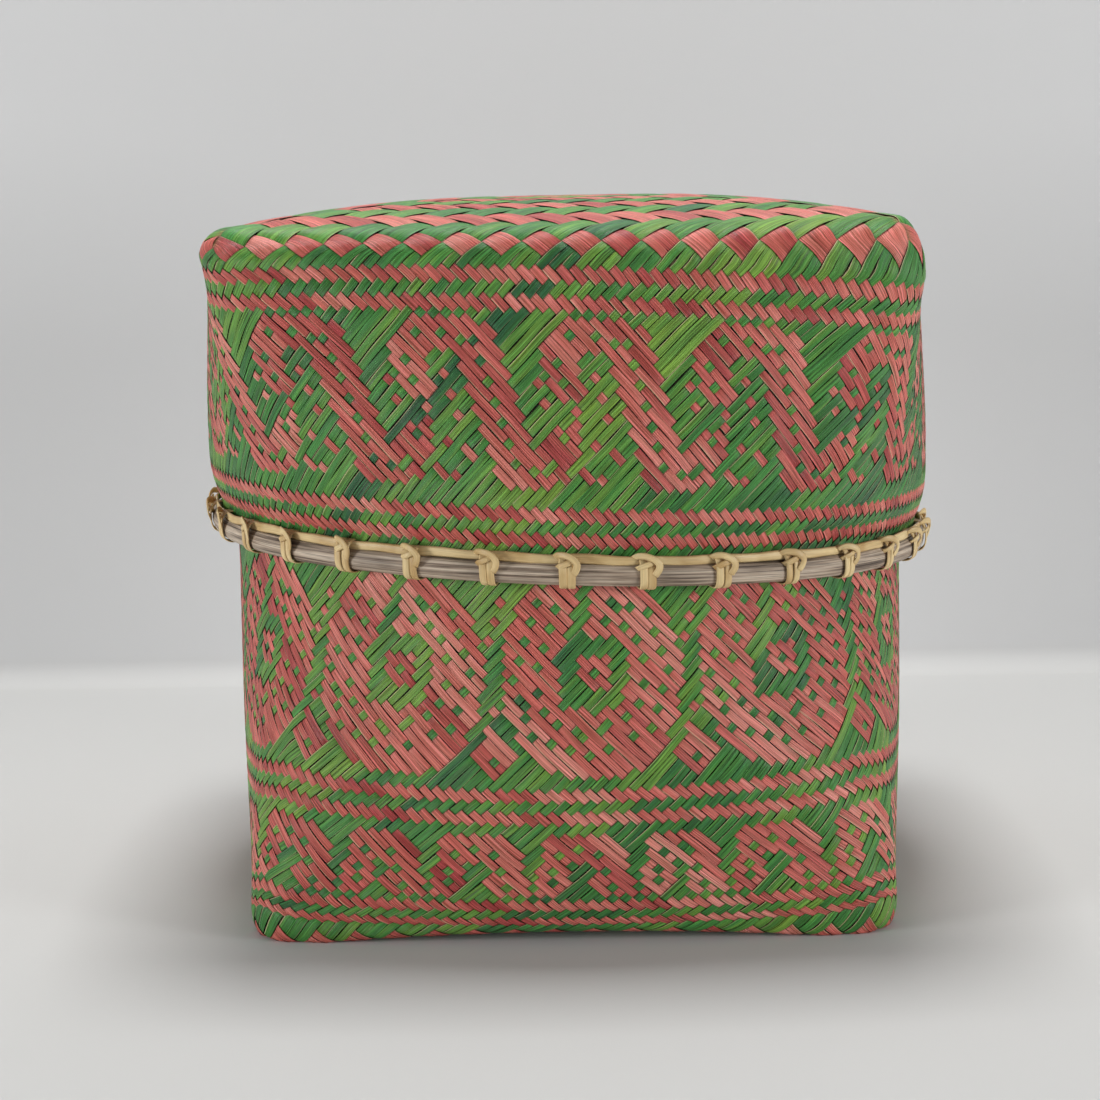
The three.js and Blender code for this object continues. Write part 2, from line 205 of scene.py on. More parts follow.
def base_point(arc, share):
    """Outward, across, up and lean on the base. arc is height, and below the heel the run over the floor."""
    height = np.maximum(arc, BASE_HEEL)
    rise = np.clip((height - BASE_HEEL) / (BASE_WAIST - BASE_HEEL), 0, 1)
    drop = np.clip((height - BASE_WAIST) / (BASE_CLAMP - BASE_WAIST), 0, 1)
    half = mix(BASE_WAIST_HALF, BASE_FOOT_HALF, (1 - rise) ** BASE_TAPER_POWER)
    half, side, corner = blend_plan(BASE_FOOT_PLAN, BASE_WAIST_PLAN, rise, half)
    inset = (BASE_WAIST_HALF - BASE_RIM_HALF) * drop**2
    angle = np.clip((BASE_HEEL - arc) / BASE_HEEL, 0, QUARTER)
    inset = inset + BASE_HEEL * (1 - np.cos(angle))
    run = np.maximum(0, BASE_HEEL - BASE_HEEL * QUARTER - arc)
    scale = np.maximum(0, 1 - run / (BASE_FOOT_HALF - BASE_HEEL))
    out, across = plan_point(half - inset, side - inset, corner - inset, share)
    out, across = out * scale, across * scale
    sine = np.sin(angle)
    square = corner_share(out, across)
    foot = 1 - np.minimum(1, square / FOOT_PAD**2)
    reach = np.clip(1 - (height - BASE_HEEL) / BASE_EDGE_LIFT_REACH, 0, 1)
    up = height - BASE_HEEL * sine + np.maximum(0, BASE_FLOOR_RISE * (1 - (scale / FOOT_PAD) ** 2))
    up = up + BASE_EDGE_LIFT * reach * scale**2 * foot + BASE_CORNER_RISE * (1 - rise) * (1 - sine) * square
    return out, across, up, 0.0


class Half:
    """One half of the box as a surface that strands are laid on.

    A place is a side (0 front, 1 right, 2 back, 3 left), how far across it from its middle in strands, and a
    row: 0 where the wall turns over its edge, more inward over the top or bottom, less along the wall.
    Wide strips split into narrow strands between the two rows of the fork.
    """

    def __init__(self, point, way, side_strands, fork, rows, arcs, raised_rows=(0,), raises=(0,)):
        self.point = point
        self.way = way
        self.side_strands = side_strands
        self.fork = fork
        self.rows = rows
        self.arcs = arcs
        self.raised_rows = raised_rows
        self.raises = raises

    def points(self, side, across, row):
        reach = self.side_strands / 2
        turns = (across + reach) / self.side_strands
        beyond = np.where(row < 0, np.floor(turns), 0)
        wall_share = 2 * (turns - beyond) - 1
        top_share = across / np.maximum(reach - row / 2, 1e-3)
        share = np.clip(np.where(row < 0, wall_share, top_share), -1, 1)
        angle = QUARTER * (side + beyond - 1)
        rightward = (1 + np.cos(angle) - share * np.sin(angle)) / 2
        raised = rightward * np.interp(row, self.raised_rows, self.raises)
        out, sideways, up, lean = self.point(np.interp(row, self.rows, self.arcs) + raised, share)
        x, y = turned(out, sideways, angle)
        return np.stack([x, y, up - lean * x], axis=-1)

    def place(self, side, own, run):
        """Where a strand from `own` on a side's edge is after it has crossed `run` strands."""
        before = run <= self.side_strands / 2
        across = np.where(before, own + self.way * run, self.way * (run - self.side_strands) - own) / 2
        row = np.where(before, run - self.way * own, self.side_strands - run - self.way * own)
        return np.where(before, side, side + self.way), across, row

    def lay(self, place, own, run, step=0.02):
        """Points and outward directions for strands, from a function that turns (own, run) into a place."""
        here = self.points(*place(own, run))
        beside = self.points(*place(own + step, run)) - self.points(*place(own - step, run))
        along = self.points(*place(own, run + step)) - self.points(*place(own, run - step))
        normal = np.cross(beside, along)
        normal /= np.maximum(np.linalg.norm(normal, axis=-1, keepdims=True), 1e-9)
        flip = np.sign(np.sum(normal * (here - INSIDE), axis=-1, keepdims=True))
        return here, normal * np.where(flip == 0, 1, flip)


LID_CENTRE_ARC = LID_WALL_TOP + LID_SHOULDER_RADIUS * QUARTER + LID_TOP_HALF - LID_SHOULDER_RADIUS
LID = Half(
    lid_point, 1, 54, (-3.2, -1.2),
    rows=(-51.5, -44.5, -40.5, -9.5, -5.5, 0, 4.5, 10.5, 54),
    arcs=(LID_RIM, 134.4, 142.4, 207.6, 216.4, LID_WALL_TOP + 4.5, LID_WALL_TOP + 12, LID_WALL_TOP + 27,
          LID_CENTRE_ARC),
    raised_rows=(-6, -2.5, 3, 10.5), raises=(0, 2.8, 2.2, 0),
)
BASE_EDGE_ARC = BASE_HEEL * (1 - QUARTER * 0.55) - 1.5
BASE_CENTRE_ARC = BASE_HEEL - BASE_HEEL * QUARTER - (BASE_FOOT_HALF - BASE_HEEL)
BASE = Half(
    base_point, -1, 48, (-0.9, 0.9),
    rows=(-113.5, -29.5, -25.5, -9.5, -5.5, 0, 48),
    arcs=(BASE_RIM, 50.7, 42.7, 10.0, 4.0, BASE_EDGE_ARC, BASE_CENTRE_ARC),
)


# Strands

# Rows that show pink on top all the way round, each the lower of a pair
LID_LINES = (-6, -10, -41, -45)
BASE_LINES = (-6, -10, -26, -30, -67, -71, -87, -91)

# The lid's scroll left of the front's middle, as places and half-widths along the middle of its band
SCROLL_EVERY = 12
SCROLL_ROWS = (-39, -11)
SCROLL = (
    (-11.6, -21.4, 1.2), (-12.5, -17.5, 1.3), (-11.5, -14.6, 1.4), (-9.7, -13.9, 1.35), (-8.0, -14.3, 1.45),
    (-6.9, -15.3, 1.55), (-6.5, -17.5, 1.7), (-6.0, -20.0, 1.75), (-5.6, -23.1, 1.75), (-5.1, -26.5, 1.8),
    (-4.65, -29.9, 1.75), (-4.1, -32.8, 1.7), (-2.6, -34.2, 1.45), (-0.9, -33.2, 1.4), (-0.1, -29.6, 1.3),
)
SCROLL_HOLES = (
    (-12, -21), (-12.5, -18), (-11.5, -14), (-9.5, -14), (-8, -15), (-7, -15), (-6.5, -18), (-6, -21),
    (-5.5, -24), (-5, -27), (-4.5, -30), (-4, -33), (-2.5, -34), (-1, -33), (0, -29),
)
SCROLL_TIES = (
    (-9.5, -20), (-9, -23), (-8.5, -26), (-11, -25), (-9.5, -30), (-10.5, -34), (-8, -31), (-7.5, -32),
    (-9, -35), (-1.5, -24), (-2, -21), (1, -27), (2, -35),
)

# The base's large round motif, with a channel that runs in from its top and round its core
ROUND_EVERY = 16
ROUND_ROWS = (-65, -31)
ROUND_MIDDLE = (1.8, -48.4)
ROUND_HALF = (7.3, 16.2)
ROUND_POWER = 2.2
ROUND_HOLES = (
    (-2.5, -60), (-3, -57), (-3.5, -54), (-4, -51), (-4.5, -48), (-4, -45), (-3.5, -42), (-3, -39),
    (-1.5, -38), (0, -37), (1.5, -36), (3, -37), (5, -39), (6.5, -40), (7, -43), (7.5, -46), (8, -49),
    (7.5, -52), (7, -55), (6.5, -58), (5, -59), (3.5, -60),
    (-1, -59), (-1.5, -56), (-2, -53), (-2.5, -50), (-2.5, -46), (-2, -43), (-1, -41), (0.5, -40), (3, -41),
    (4.5, -42), (5.5, -44), (6, -47), (6, -51), (5.5, -54), (4.5, -56), (3, -57),
    (2, -49),
)
CHANNEL = ((1.7, -63.0, 0.6), (0.9, -58.0, 0.6), (0.4, -54.6, 0.7), (-0.3, -50.5, 0.8), (0.0, -47.0, 0.75),
           (1.2, -44.7, 0.8), (2.6, -44.3, 0.8), (3.7, -46.2, 0.75), (4.1, -49.2, 0.7), (3.8, -52.2, 0.75),
           (2.4, -53.2, 0.75), (1.0, -53.4, 0.7))
STAR_MIDDLE = (10.0, -35.8)
STAR_REACH = 1.9
ROUND_TIES = ((10.5, -60), (10, -57), (9.5, -54), (10, -43))

# The base's small running wave: a pink band with green wedges let into it from above and below by turns
WAVE_EVERY = 7.68
WAVE_ROWS = (-23, -11)
WAVE_WEDGES = (
    ((-1.2, -23.4, 1.3), (-0.5, -21.6, 1.1), (0.0, -19.8, 0.85), (0.1, -18.0, 0.65), (-0.2, -16.0, 0.55)),
    ((3.2, -10.0, 1.8), (3.5, -12.0, 1.2), (3.6, -13.8, 0.85), (3.9, -15.4, 0.6), (4.2, -16.8, 0.5)),
)
WAVE_HOLES = ((0, -13), (1.5, -14), (1.5, -16), (3, -17), (2, -19), (3.5, -20), (5, -19), (5.5, -16),
              (6, -13))
WAVE_START = -3
WAVE_STEP = 8
UPPER_WAVE_SHIFT = -62

# A repeat so long that a motif comes only once
ONCE = 1000

# How closely a band follows its curve, and how many crossings a strand may float over
CURVE_STEP = 0.25
LONGEST_GREEN_FLOAT = 9
LONGEST_PINK_FLOAT = 7


def wrapped(places, every):
    """Signed distance from each place to the nearest repeat of a motif."""
    return (places + every / 2) % every - every / 2


def along_curve(curve):
    """Even places along a curve of (across, row, ...) points. A row is half a strand tall."""
    points = np.array(curve, float)
    ends = running(np.hypot(np.diff(points[:, 0]), np.diff(points[:, 1]) / 2))
    places = np.linspace(0, ends[-1], max(2, int(round(ends[-1] / CURVE_STEP)) + 1))
    return np.stack([np.interp(places, ends, column) for column in points.T], axis=1)


def in_band(across, row, curve, every):
    """Whether places lie within a band that follows a curve and repeats round the box."""
    inside = np.zeros(across.shape, bool)
    for x, y, width in along_curve(curve):
        inside |= np.hypot(wrapped(across - x, every), (row - y) / 2) < width
    return inside


def nearest_cells(spots, across, row, every):
    """The crossing nearest to each spot of a repeating motif."""
    found = np.zeros(across.shape, bool)
    for x, y in spots:
        found |= (np.abs(wrapped(across - x, every)) + np.abs(row - y) / 2) < 0.5
    return found


def between(row, rows):
    return (row > rows[0]) & (row < rows[1])


def lid_design(across, row):
    """Which crossings of the lid's wall have pink on top."""
    pink = in_band(across, row, SCROLL, SCROLL_EVERY)
    pink &= ~nearest_cells(SCROLL_HOLES, across, row, SCROLL_EVERY)
    pink |= nearest_cells(SCROLL_TIES, across, row, SCROLL_EVERY)
    return pink & between(row, SCROLL_ROWS)


def wave(across, row):
    """The pink of the small wave. Its repeats are whole strands apart, so its holes stay on crossings."""
    whole = np.round(np.round((across - WAVE_START) / WAVE_EVERY) * WAVE_EVERY)
    local = across - WAVE_START - whole
    pink = between(row, WAVE_ROWS)
    for shift in (-WAVE_STEP, 0, WAVE_STEP):
        pink &= ~nearest_cells(WAVE_HOLES, local + shift, row, ONCE)
        for wedge in WAVE_WEDGES:
            pink &= ~in_band(local + shift, row, wedge, ONCE)
    return pink


def round_motif(across, row):
    """The pink of the large round motif, with its channel, its holes and the star beside it."""
    x = np.abs(wrapped(across - ROUND_MIDDLE[0], ROUND_EVERY) / ROUND_HALF[0])
    y = np.abs((row - ROUND_MIDDLE[1]) / ROUND_HALF[1])
    size = (x**ROUND_POWER + y**ROUND_POWER) ** (1 / ROUND_POWER)
    pink = (size < 1) & ~in_band(across, row, CHANNEL, ROUND_EVERY)
    pink &= ~nearest_cells(ROUND_HOLES, across, row, ROUND_EVERY)
    star = np.abs(wrapped(across - STAR_MIDDLE[0], ROUND_EVERY)) + np.abs(row - STAR_MIDDLE[1]) / 2
    pink |= (star < STAR_REACH) & (star > 0.5)
    return pink | nearest_cells(ROUND_TIES, across, row, ROUND_EVERY)


def base_design(across, row):
    """Which crossings of the base's wall have pink on top. What the lid hides repeats the small wave."""
    middle = round_motif(across, row) & between(row, ROUND_ROWS)
    return wave(across, row) | middle | wave(across, row - UPPER_WAVE_SHIFT)


def tie_floats(pink_on_top, way, locked):
    """Ties each float that has grown too long with one crossing of the other colour."""
    count, rows = pink_on_top.shape
    strands = np.arange(count)
    green_run = np.zeros(count, int)
    pink_run = np.zeros(count, int)
    for step in range(rows):
        if locked[step]:
            green_run[:] = 0
            pink_run[:] = 0
            continue
        on_top = pink_on_top[:, step]
        green_run = np.where(on_top, 0, green_run + 1)
        on_top = on_top | (green_run >= LONGEST_GREEN_FLOAT)
        green_run[green_run >= LONGEST_GREEN_FLOAT] = 0
        crossing = (strands - way * (step + 1)) % count
        pink_run[crossing] = np.where(on_top, pink_run[crossing] + 1, 0)
        long = pink_run[crossing] >= LONGEST_PINK_FLOAT
        pink_on_top[:, step] = on_top & ~long
        pink_run[crossing[long]] = 0
    return pink_on_top


def wall_pattern(half, design, lines, rows):
    """Pink on top or not, for each green strand all round the wall and each row down from the edge."""
    count = 4 * half.side_strands
    strand = np.arange(count)[:, None]
    row = -(np.arange(rows) + 1)[None, :]
    across = (strand + 0.5 - half.side_strands / 2) + half.way * row / 2
    pink = design(across, np.broadcast_to(row, across.shape))
    line = np.isin(row[0], [number + extra for number in lines for extra in (0, 1)])
    beside = np.isin(row[0], [number + extra for number in lines for extra in (-1, 2)])
    pink[:, line] = True
    pink[:, beside & ~line] = False
    return tie_floats(pink, half.way, line | beside)


def wide_pink(row):
    """Whether a row of wide strips, counted inward from the edge, has pink on top: one band, then twill."""
    return (row == 0) | ((row >= 3) & ((row - 3) % 4 < 2))


def tube_quads(samples, edges, closed=False):
    """The point numbers of the quads round a tube of rings, which may close in a circle."""
    sample = np.arange(samples if closed else samples - 1)[:, None]
    edge = np.arange(edges)
    beside = (edge + 1) % edges
    after = (sample + 1) % samples
    return np.stack([sample * edges + edge, sample * edges + beside, after * edges + beside,
                     after * edges + edge], axis=-1)


def tube_values(along, around):
    """Pairs of values at the corners of a tube's quads, from those along it and round it."""
    long = np.stack([along[:-1], along[:-1], along[1:], along[1:]], axis=-1)[:, None]
    side = np.stack([around[:-1], around[1:], around[1:], around[:-1]], axis=-1)[None]
    return np.stack(np.broadcast_arrays(long, side), axis=-1)


class Plait:
    """Collects strands, each a ribbon of four edges: left, crown, right and underside."""

    def __init__(self):
        self.vertices = []
        self.faces = []
        self.fibre = []
        self.bake = []
        self.tints = []
        self.strands = 0
        self.count = 0

    def add(self, rings, fibre, tints, outward):
        """Arrays of strands x samples x 4 edges: points, fibre lengths and tints. The tints are tone, pale
        edge (wear and painted highlight), end colour and painted shade.
        """
        strands, samples = rings.shape[:2]
        number = np.arange(strands)
        start = (self.count + number * samples * 4)[:, None, None]
        last = 4 * (samples - 1)
        caps = np.array([[3, 2, 1, 0], [last, last + 1, last + 2, last + 3]])
        walls = tube_quads(samples, 4).reshape(-1, 4)
        quads = np.concatenate([(start + part).reshape(-1, 4) for part in (walls, caps)])
        row = (self.strands + number)[:, None, None, None] * np.array([0, 1])
        share = 0.01 + 0.98 * (np.arange(samples) / (samples - 1))
        wall_bake = tube_values(share, BAKE_EDGES).reshape(-1, 4, 2)
        cap_bake = np.stack(np.broadcast_arrays(np.array([[0.004], [0.996]]), BAKE_EDGES[3::-1]), axis=-1)
        bakes = np.concatenate([(part + row).reshape(-1, 4, 2) for part in (wall_bake, cap_bake)])
        self.faces.append(quads if outward else quads[:, ::-1])
        self.bake.append(bakes if outward else bakes[:, ::-1])
        self.vertices.append(rings.reshape(-1, 3))
        self.fibre.append(fibre.reshape(-1, 2))
        self.tints.append(tints.reshape(-1, 4))
        self.strands += strands
        self.count += strands * samples * 4

    def build(self, name, material):
        faces = np.concatenate(self.faces)
        bake = np.concatenate(self.bake) / np.array([1, self.strands])
        return mesh_object(name, np.concatenate(self.vertices) * MM, faces, material,
                           np.concatenate(self.fibre)[faces], bake, np.concatenate(self.tints))


def show(name, data):
    """Puts a new object for a mesh, a camera or a light into the scene."""
    shown = bpy.data.objects.new(name, data)
    bpy.context.scene.collection.objects.link(shown)
    return shown


def mesh_object(name, vertices, faces, material, fibre=None, bake=None, tints=None):
    """A smooth mesh object from quads, in metres. Strands also have tints, a bake map and sharp edges."""
    mesh = bpy.data.meshes.new(name)
    mesh.vertices.add(len(vertices))
    mesh.vertices.foreach_set("co", np.asarray(vertices, np.float32).ravel())
    mesh.loops.add(faces.size)
    mesh.loops.foreach_set("vertex_index", faces.astype(np.int32).ravel())
    mesh.polygons.add(len(faces))
    mesh.polygons.foreach_set("loop_start", np.arange(0, faces.size, 4, dtype=np.int32))
    mesh.update(calc_edges=True)
    mesh.polygons.foreach_set("use_smooth", np.ones(len(faces), bool))
    for map_name, values in (("OFBake", bake), ("Fibre", fibre)):
        if values is not None:
            layer = mesh.uv_layers.new(name=map_name)
            layer.uv.foreach_set("vector", values.astype(np.float32).ravel())
    if tints is not None:
        colours = mesh.color_attributes.new("Strand", "FLOAT_COLOR", "POINT")
        colours.data.foreach_set("color", tints.astype(np.float32).ravel())
        edges = np.zeros(len(mesh.edges) * 2, np.int32)
        mesh.edges.foreach_get("vertices", edges)
        kinds = edges.reshape(-1, 2) % 4
        sharp = mesh.attributes.new("sharp_edge", "BOOLEAN", "EDGE")
        sharp.data.foreach_set("value", (kinds[:, 0] == kinds[:, 1]) & (kinds[:, 0] % 2 == 0))
    mesh.validate()
    mesh.materials.append(material)
    return show(name, mesh)


def dye_tones(count, rng):
    """A tone for each narrow strand: three from one wide strip are alike, and some strips stand out."""
    wide = np.clip(rng.normal(0.45, 0.17, count // SPLIT + 1), 0, 1)
    odd = rng.random(wide.size) < ODD_STRIPS
    wide = np.where(odd, rng.uniform(0.7, 0.95, wide.size), wide)
    return np.clip(np.repeat(wide, SPLIT)[:count] + rng.normal(0, 0.06, count), 0, 1)


def ribbons(half, place, own, run, level, gap, fork, tone, over, end, seed):
    """Strands for Plait.add. own and seed have one value a strand, and the rest but gap one a sample."""
    run, level, fork, tone, over, end = np.atleast_2d(run, level, fork, tone, over, end)
    member = (np.floor(own - 1e-6) % SPLIT)[:, None]
    own = own[:, None]
    seed = seed[:, None]
    wobble = 0.035 * np.sin(run * 0.9 + seed * 40) + 0.02 * np.sin(run * 0.37 + seed * 90)
    middle = own + wobble * (1 - fork)
    narrow = 0.5 - gap * (0.3 + 0.5 * seed + 0.12 * np.sin(seed * 70 + run * 0.3)) / STRAND_PITCH
    left_open = np.where(member == 0, 0.0, fork)
    right_open = np.where(member == SPLIT - 1, 0.0, fork)
    left = -mix(narrow, 0.5, left_open)
    right = mix(narrow, 0.5, right_open)
    points, rings = [], []
    for index, edge in enumerate((left, (left + right) / 2, right)):
        point, normal = half.lay(place, middle + edge, run)
        from_middle = (member - 1 + (index - 1) / 2) / 1.5
        height = level + STRIP_CROWN * (1 - from_middle**2) * fork
        if index == 1:
            height = height + STRAND_CROWN * (1 - 0.4 * fork)
            under = point + normal * (WEAVE_MIDDLE + (level - STRIP_THICKNESS))[..., None]
        rings.append(point + normal * (WEAVE_MIDDLE + height)[..., None])
        points.append(point)
    rings = np.stack([*rings, under], axis=2)
    across = points[2] - points[0]
    along = np.gradient(points[1], axis=1)
    outward = np.sum(np.cross(across, along) * (points[1] - INSIDE), axis=-1).mean() >= 0
    length = running(np.linalg.norm(np.diff(points[1], axis=1), axis=-1)) / 10 + seed * 37
    side = (np.array([0.0, 0.5, 1.0, 0.5]) + member[..., None]) * 0.3
    fibre = np.stack(np.broadcast_arrays(length[..., None], side), axis=-1)
    none = np.zeros_like(run)
    # Second tint: a pale edge on one side of some strands. It is partly bare bamboo worn through the dye and
    # partly a painted highlight along that side.
    wear_and_highlight = np.stack([(1 - left_open) * np.where(seed > 0.6, 1.0, 0.0), none,
                     (1 - right_open) * np.where(seed < 0.15, 0.9, 0.0), none], axis=2)
    # The fourth tint is painted shade: 1 where a strand lies on top, less where it dives under the crossing
    # strands, and 0 on its underside.
    shade = np.stack([over, over, over, none], axis=2)
    tints = np.stack(np.broadcast_arrays(tone[..., None], wear_and_highlight, end[..., None], shade), axis=-1)
    return rings, fibre, tints, outward


def swing_levels(own_on_top):
    """Levels at each cell's two samples: flat along a float, and easing where the strand turns."""
    state = np.where(own_on_top, 1.0, -1.0)
    before = np.concatenate([state[:, :1], state[:, :-1]], axis=1) != state
    after = np.concatenate([state[:, 1:], state[:, -1:]], axis=1) != state
    long = 1 + FLOAT_RISE * (~before & ~after)
    levels = [state * NARROW_SWING * np.where(turns, TURN_EASE, long) for turns in (before, after)]
    return np.stack(levels, axis=2).reshape(state.shape[0], -1)


def plait_wall(half, pattern, side, pink, rng):
    """The narrow strands of one colour that start along one side's edge, down to the rim."""
    count, rows = pattern.shape
    number = side * half.side_strands + np.arange(half.side_strands)
    own = np.arange(half.side_strands) + 0.5 - half.side_strands / 2
    step = np.arange(FIRST_PINK_ROW if pink else FIRST_GREEN_ROW, rows)
    lean = -half.way if pink else half.way
    if pink:
        on_top = pattern[(number[:, None] + half.way * (step + 1)) % count, step]
    else:
        on_top = ~pattern[number[:, None], step]
    row = (0.5 - np.array(CELL_SAMPLES) - (step + 1.0)[:, None]).ravel()
    run = row + lean * own[:, None]
    level = swing_levels(on_top)
    level = level + rng.normal(0, 0.015, level.shape)
    seed = rng.random(own.size)
    tone = half.tones[int(pink)][number][:, None]
    end = np.full_like(run, float(pink))
    # Lying on top or not. The material turns this into painted shade on the parts under the crossing
    # strands.
    over = np.repeat(on_top, 2, axis=1).astype(float)
    place = lambda strand, run: (side, (strand + lean * run) / 2, run - lean * strand)
    plait = Plait()
    plait.add(*ribbons(half, place, own, run, level, WALL_GAP, np.zeros_like(run), tone, over, end, seed))
    return plait


def row_of(before, run, reach, lean):
    """The row that a strip has reached: inward from its own edge, then out again past the face's middle."""
    return np.where(before, run - lean, 2 * reach - run - lean)


def plait_face(half, side, rng):
    """The strips that leave one side's edge as green and reach the next side's edge as pink."""
    plait = Plait()
    way = half.way
    reach = half.side_strands / 2
    green_first = side * half.side_strands
    pink_last = (((side + way) % 4) + 1) * half.side_strands - 1
    place = lambda strand, run: half.place(side, strand, run)
    for index in range(half.side_strands):
        own = index + 0.5 - reach
        lean = way * own
        cells = np.arange(math.floor(lean - 5.5), math.floor(2 * reach - lean + 3.5))
        before = cells + 0.5 < reach
        row = row_of(before, cells + 0.5, reach, lean)
        wide_middle = SPLIT * np.floor(cells / SPLIT) + SPLIT / 2
        wide_lean = way * (SPLIT * math.floor(own / SPLIT) + SPLIT / 2)
        wide_row = np.round(row_of(before, wide_middle, reach, wide_lean) / SPLIT)
        pink_on_top = (row == -5) | (row == -6) | ((row > -5) & wide_pink(wide_row))
        on_top = pink_on_top ^ before
        state = np.where(on_top, 1.0, -1.0)
        runs = (cells[:, None] + np.array(CELL_SAMPLES)).ravel()
        fork = smooth(*half.fork, row_of(np.repeat(before, 2), runs, reach, lean))
        cell = np.arange(runs.size) // 2
        from_middle = runs - wide_middle[cell]
        toward = np.clip(cell + SPLIT * np.copysign(1, from_middle).astype(int), 0, cells.size - 1)
        turns = state[toward] != state[cell]
        wide = state[cell] * np.where(turns, np.cos(np.pi * np.abs(from_middle) / SPLIT), 1.1)
        level = mix(swing_levels(on_top[None])[0], WIDE_SWING * wide, fork)
        level = level * (1 - 0.5 * np.exp(-((runs - reach) / 0.8) ** 2))
        end = smooth(reach - 0.6, reach + 0.6, runs)
        tone = np.where(end < 0.5, half.tones[0][green_first + index], half.tones[1][pink_last - index])
        # Lying on top, and in the wide strips the strip's level. The material turns this into painted shade
        # on the low, covered parts.
        over = mix(np.repeat(on_top, 2).astype(float), np.clip(0.5 + level, 0, 1), fork)
        plait.add(*ribbons(half, place, np.array([own]), runs, level, FACE_GAP, fork, tone, over, end,
                           rng.random(1)))
    return plait


# Materials


class Nodes:
    """A material's node tree, with short calls to add and join nodes."""

    def __init__(self, name, slot_colour):
        self.material = bpy.data.materials.new(name)
        self.material.use_nodes = True
        self.material.diffuse_color = (*slot_colour, 1)
        self.tree = self.material.node_tree
        self.tree.nodes.clear()

    def add(self, kind, settings=None, **inputs):
        node = self.tree.nodes.new(kind)
        for key, value in (settings or {}).items():
            setattr(node, key, value)
        for key, value in inputs.items():
            self.put(node.inputs[key.replace("_", " ")], value)
        return node

    def put(self, socket, value):
        if isinstance(value, bpy.types.NodeSocket):
            self.tree.links.new(value, socket)
        else:
            socket.default_value = (*value, 1) if socket.type == "RGBA" else value

    def math(self, operation, *values, clamp=False):
        node = self.add("ShaderNodeMath", {"operation": operation, "use_clamp": clamp})
        for index, value in enumerate(values):
            self.put(node.inputs[index], value)
        return node.outputs[0]

    def ramp(self, value, *stops):
        """A ramp of greys, given as numbers, and colours."""
        node = self.add("ShaderNodeValToRGB", Fac=value)
        elements = node.color_ramp.elements
        while len(elements) < len(stops):
            elements.new(1)
        for element, (place, colour) in zip(elements, stops):
            element.position = place
            element.color = (colour, colour, colour, 1) if isinstance(colour, (int, float)) else (*colour, 1)
        return node.outputs["Color"]

    def blend(self, share, a, b, kind="MIX"):
        node = self.add("ShaderNodeMix", {"data_type": "RGBA", "blend_type": kind})
        self.put(node.inputs["Factor"], share)
        for name, value in (("A", a), ("B", b)):
            sockets = [socket for socket in node.inputs if socket.name == name and socket.type == "RGBA"]
            self.put(sockets[0], value)
        return next(socket for socket in node.outputs if socket.type == "RGBA")

    def tint(self, share, colour, value, *stops):
        """A colour multiplied by a ramp."""
        return self.blend(share, colour, self.ramp(value, *stops), "MULTIPLY")

    def roughness(self, value, low, high):
        return self.add("ShaderNodeMapRange", Value=value, From_Min=0.3, From_Max=0.7, To_Min=low,
                        To_Max=high).outputs[0]

    def finish(self, colour, roughness, height, bump_strength, bump_distance, specular):
        bump = self.add("ShaderNodeBump", Strength=bump_strength, Distance=bump_distance, Height=height)
        shader = self.add("ShaderNodeBsdfPrincipled", Base_Color=colour, Roughness=roughness,
                          Specular_IOR_Level=specular, Normal=bump.outputs["Normal"])
        self.add("ShaderNodeOutputMaterial", Surface=shader.outputs["BSDF"])
        return self.material

    def clear_backs(self):
        """Makes the backs of faces clear, so that views from behind a wall or below a floor stay open."""
        surface = next(node for node in self.tree.nodes if node.type == "OUTPUT_MATERIAL").inputs["Surface"]
        shown = surface.links[0].from_socket
        chosen = self.add("ShaderNodeMixShader", Fac=self.add("ShaderNodeNewGeometry").outputs["Backfacing"])
        self.put(chosen.inputs[1], shown)
        self.put(chosen.inputs[2], self.add("ShaderNodeBsdfTransparent").outputs["BSDF"])
        self.put(surface, chosen.outputs["Shader"])


class FibreNodes(Nodes):
    """Nodes of a finish that follows the fibres: lengths along a strand and across it, in centimetres."""

    def __init__(self, name, slot_colour):
        super().__init__(name, slot_colour)
        lengths = self.add("ShaderNodeUVMap", {"uv_map": "Fibre"}).outputs["UV"]
        split = self.add("ShaderNodeSeparateXYZ", Vector=lengths)
        self.along, self.side = split.outputs["X"], split.outputs["Y"]

    def noise(self, along_scale, side_scale, detail, shift=0.0):
        """Noise in streaks that run along a strand."""
        vector = self.add("ShaderNodeCombineXYZ", X=self.math("MULTIPLY", self.along, along_scale),
                          Y=self.math("MULTIPLY", self.side, side_scale), Z=shift)
        return self.add("ShaderNodeTexNoise", Vector=vector.outputs[0], Scale=1.0, Detail=detail,
                        Roughness=0.6).outputs["Fac"]

    def uneven(self, tone, patches, share):
        """A strand's tone, made uneven by patches."""
        change = self.math("MULTIPLY", self.math("SUBTRACT", patches, 0.5), share)
        return self.math("ADD", tone, change, clamp=True)


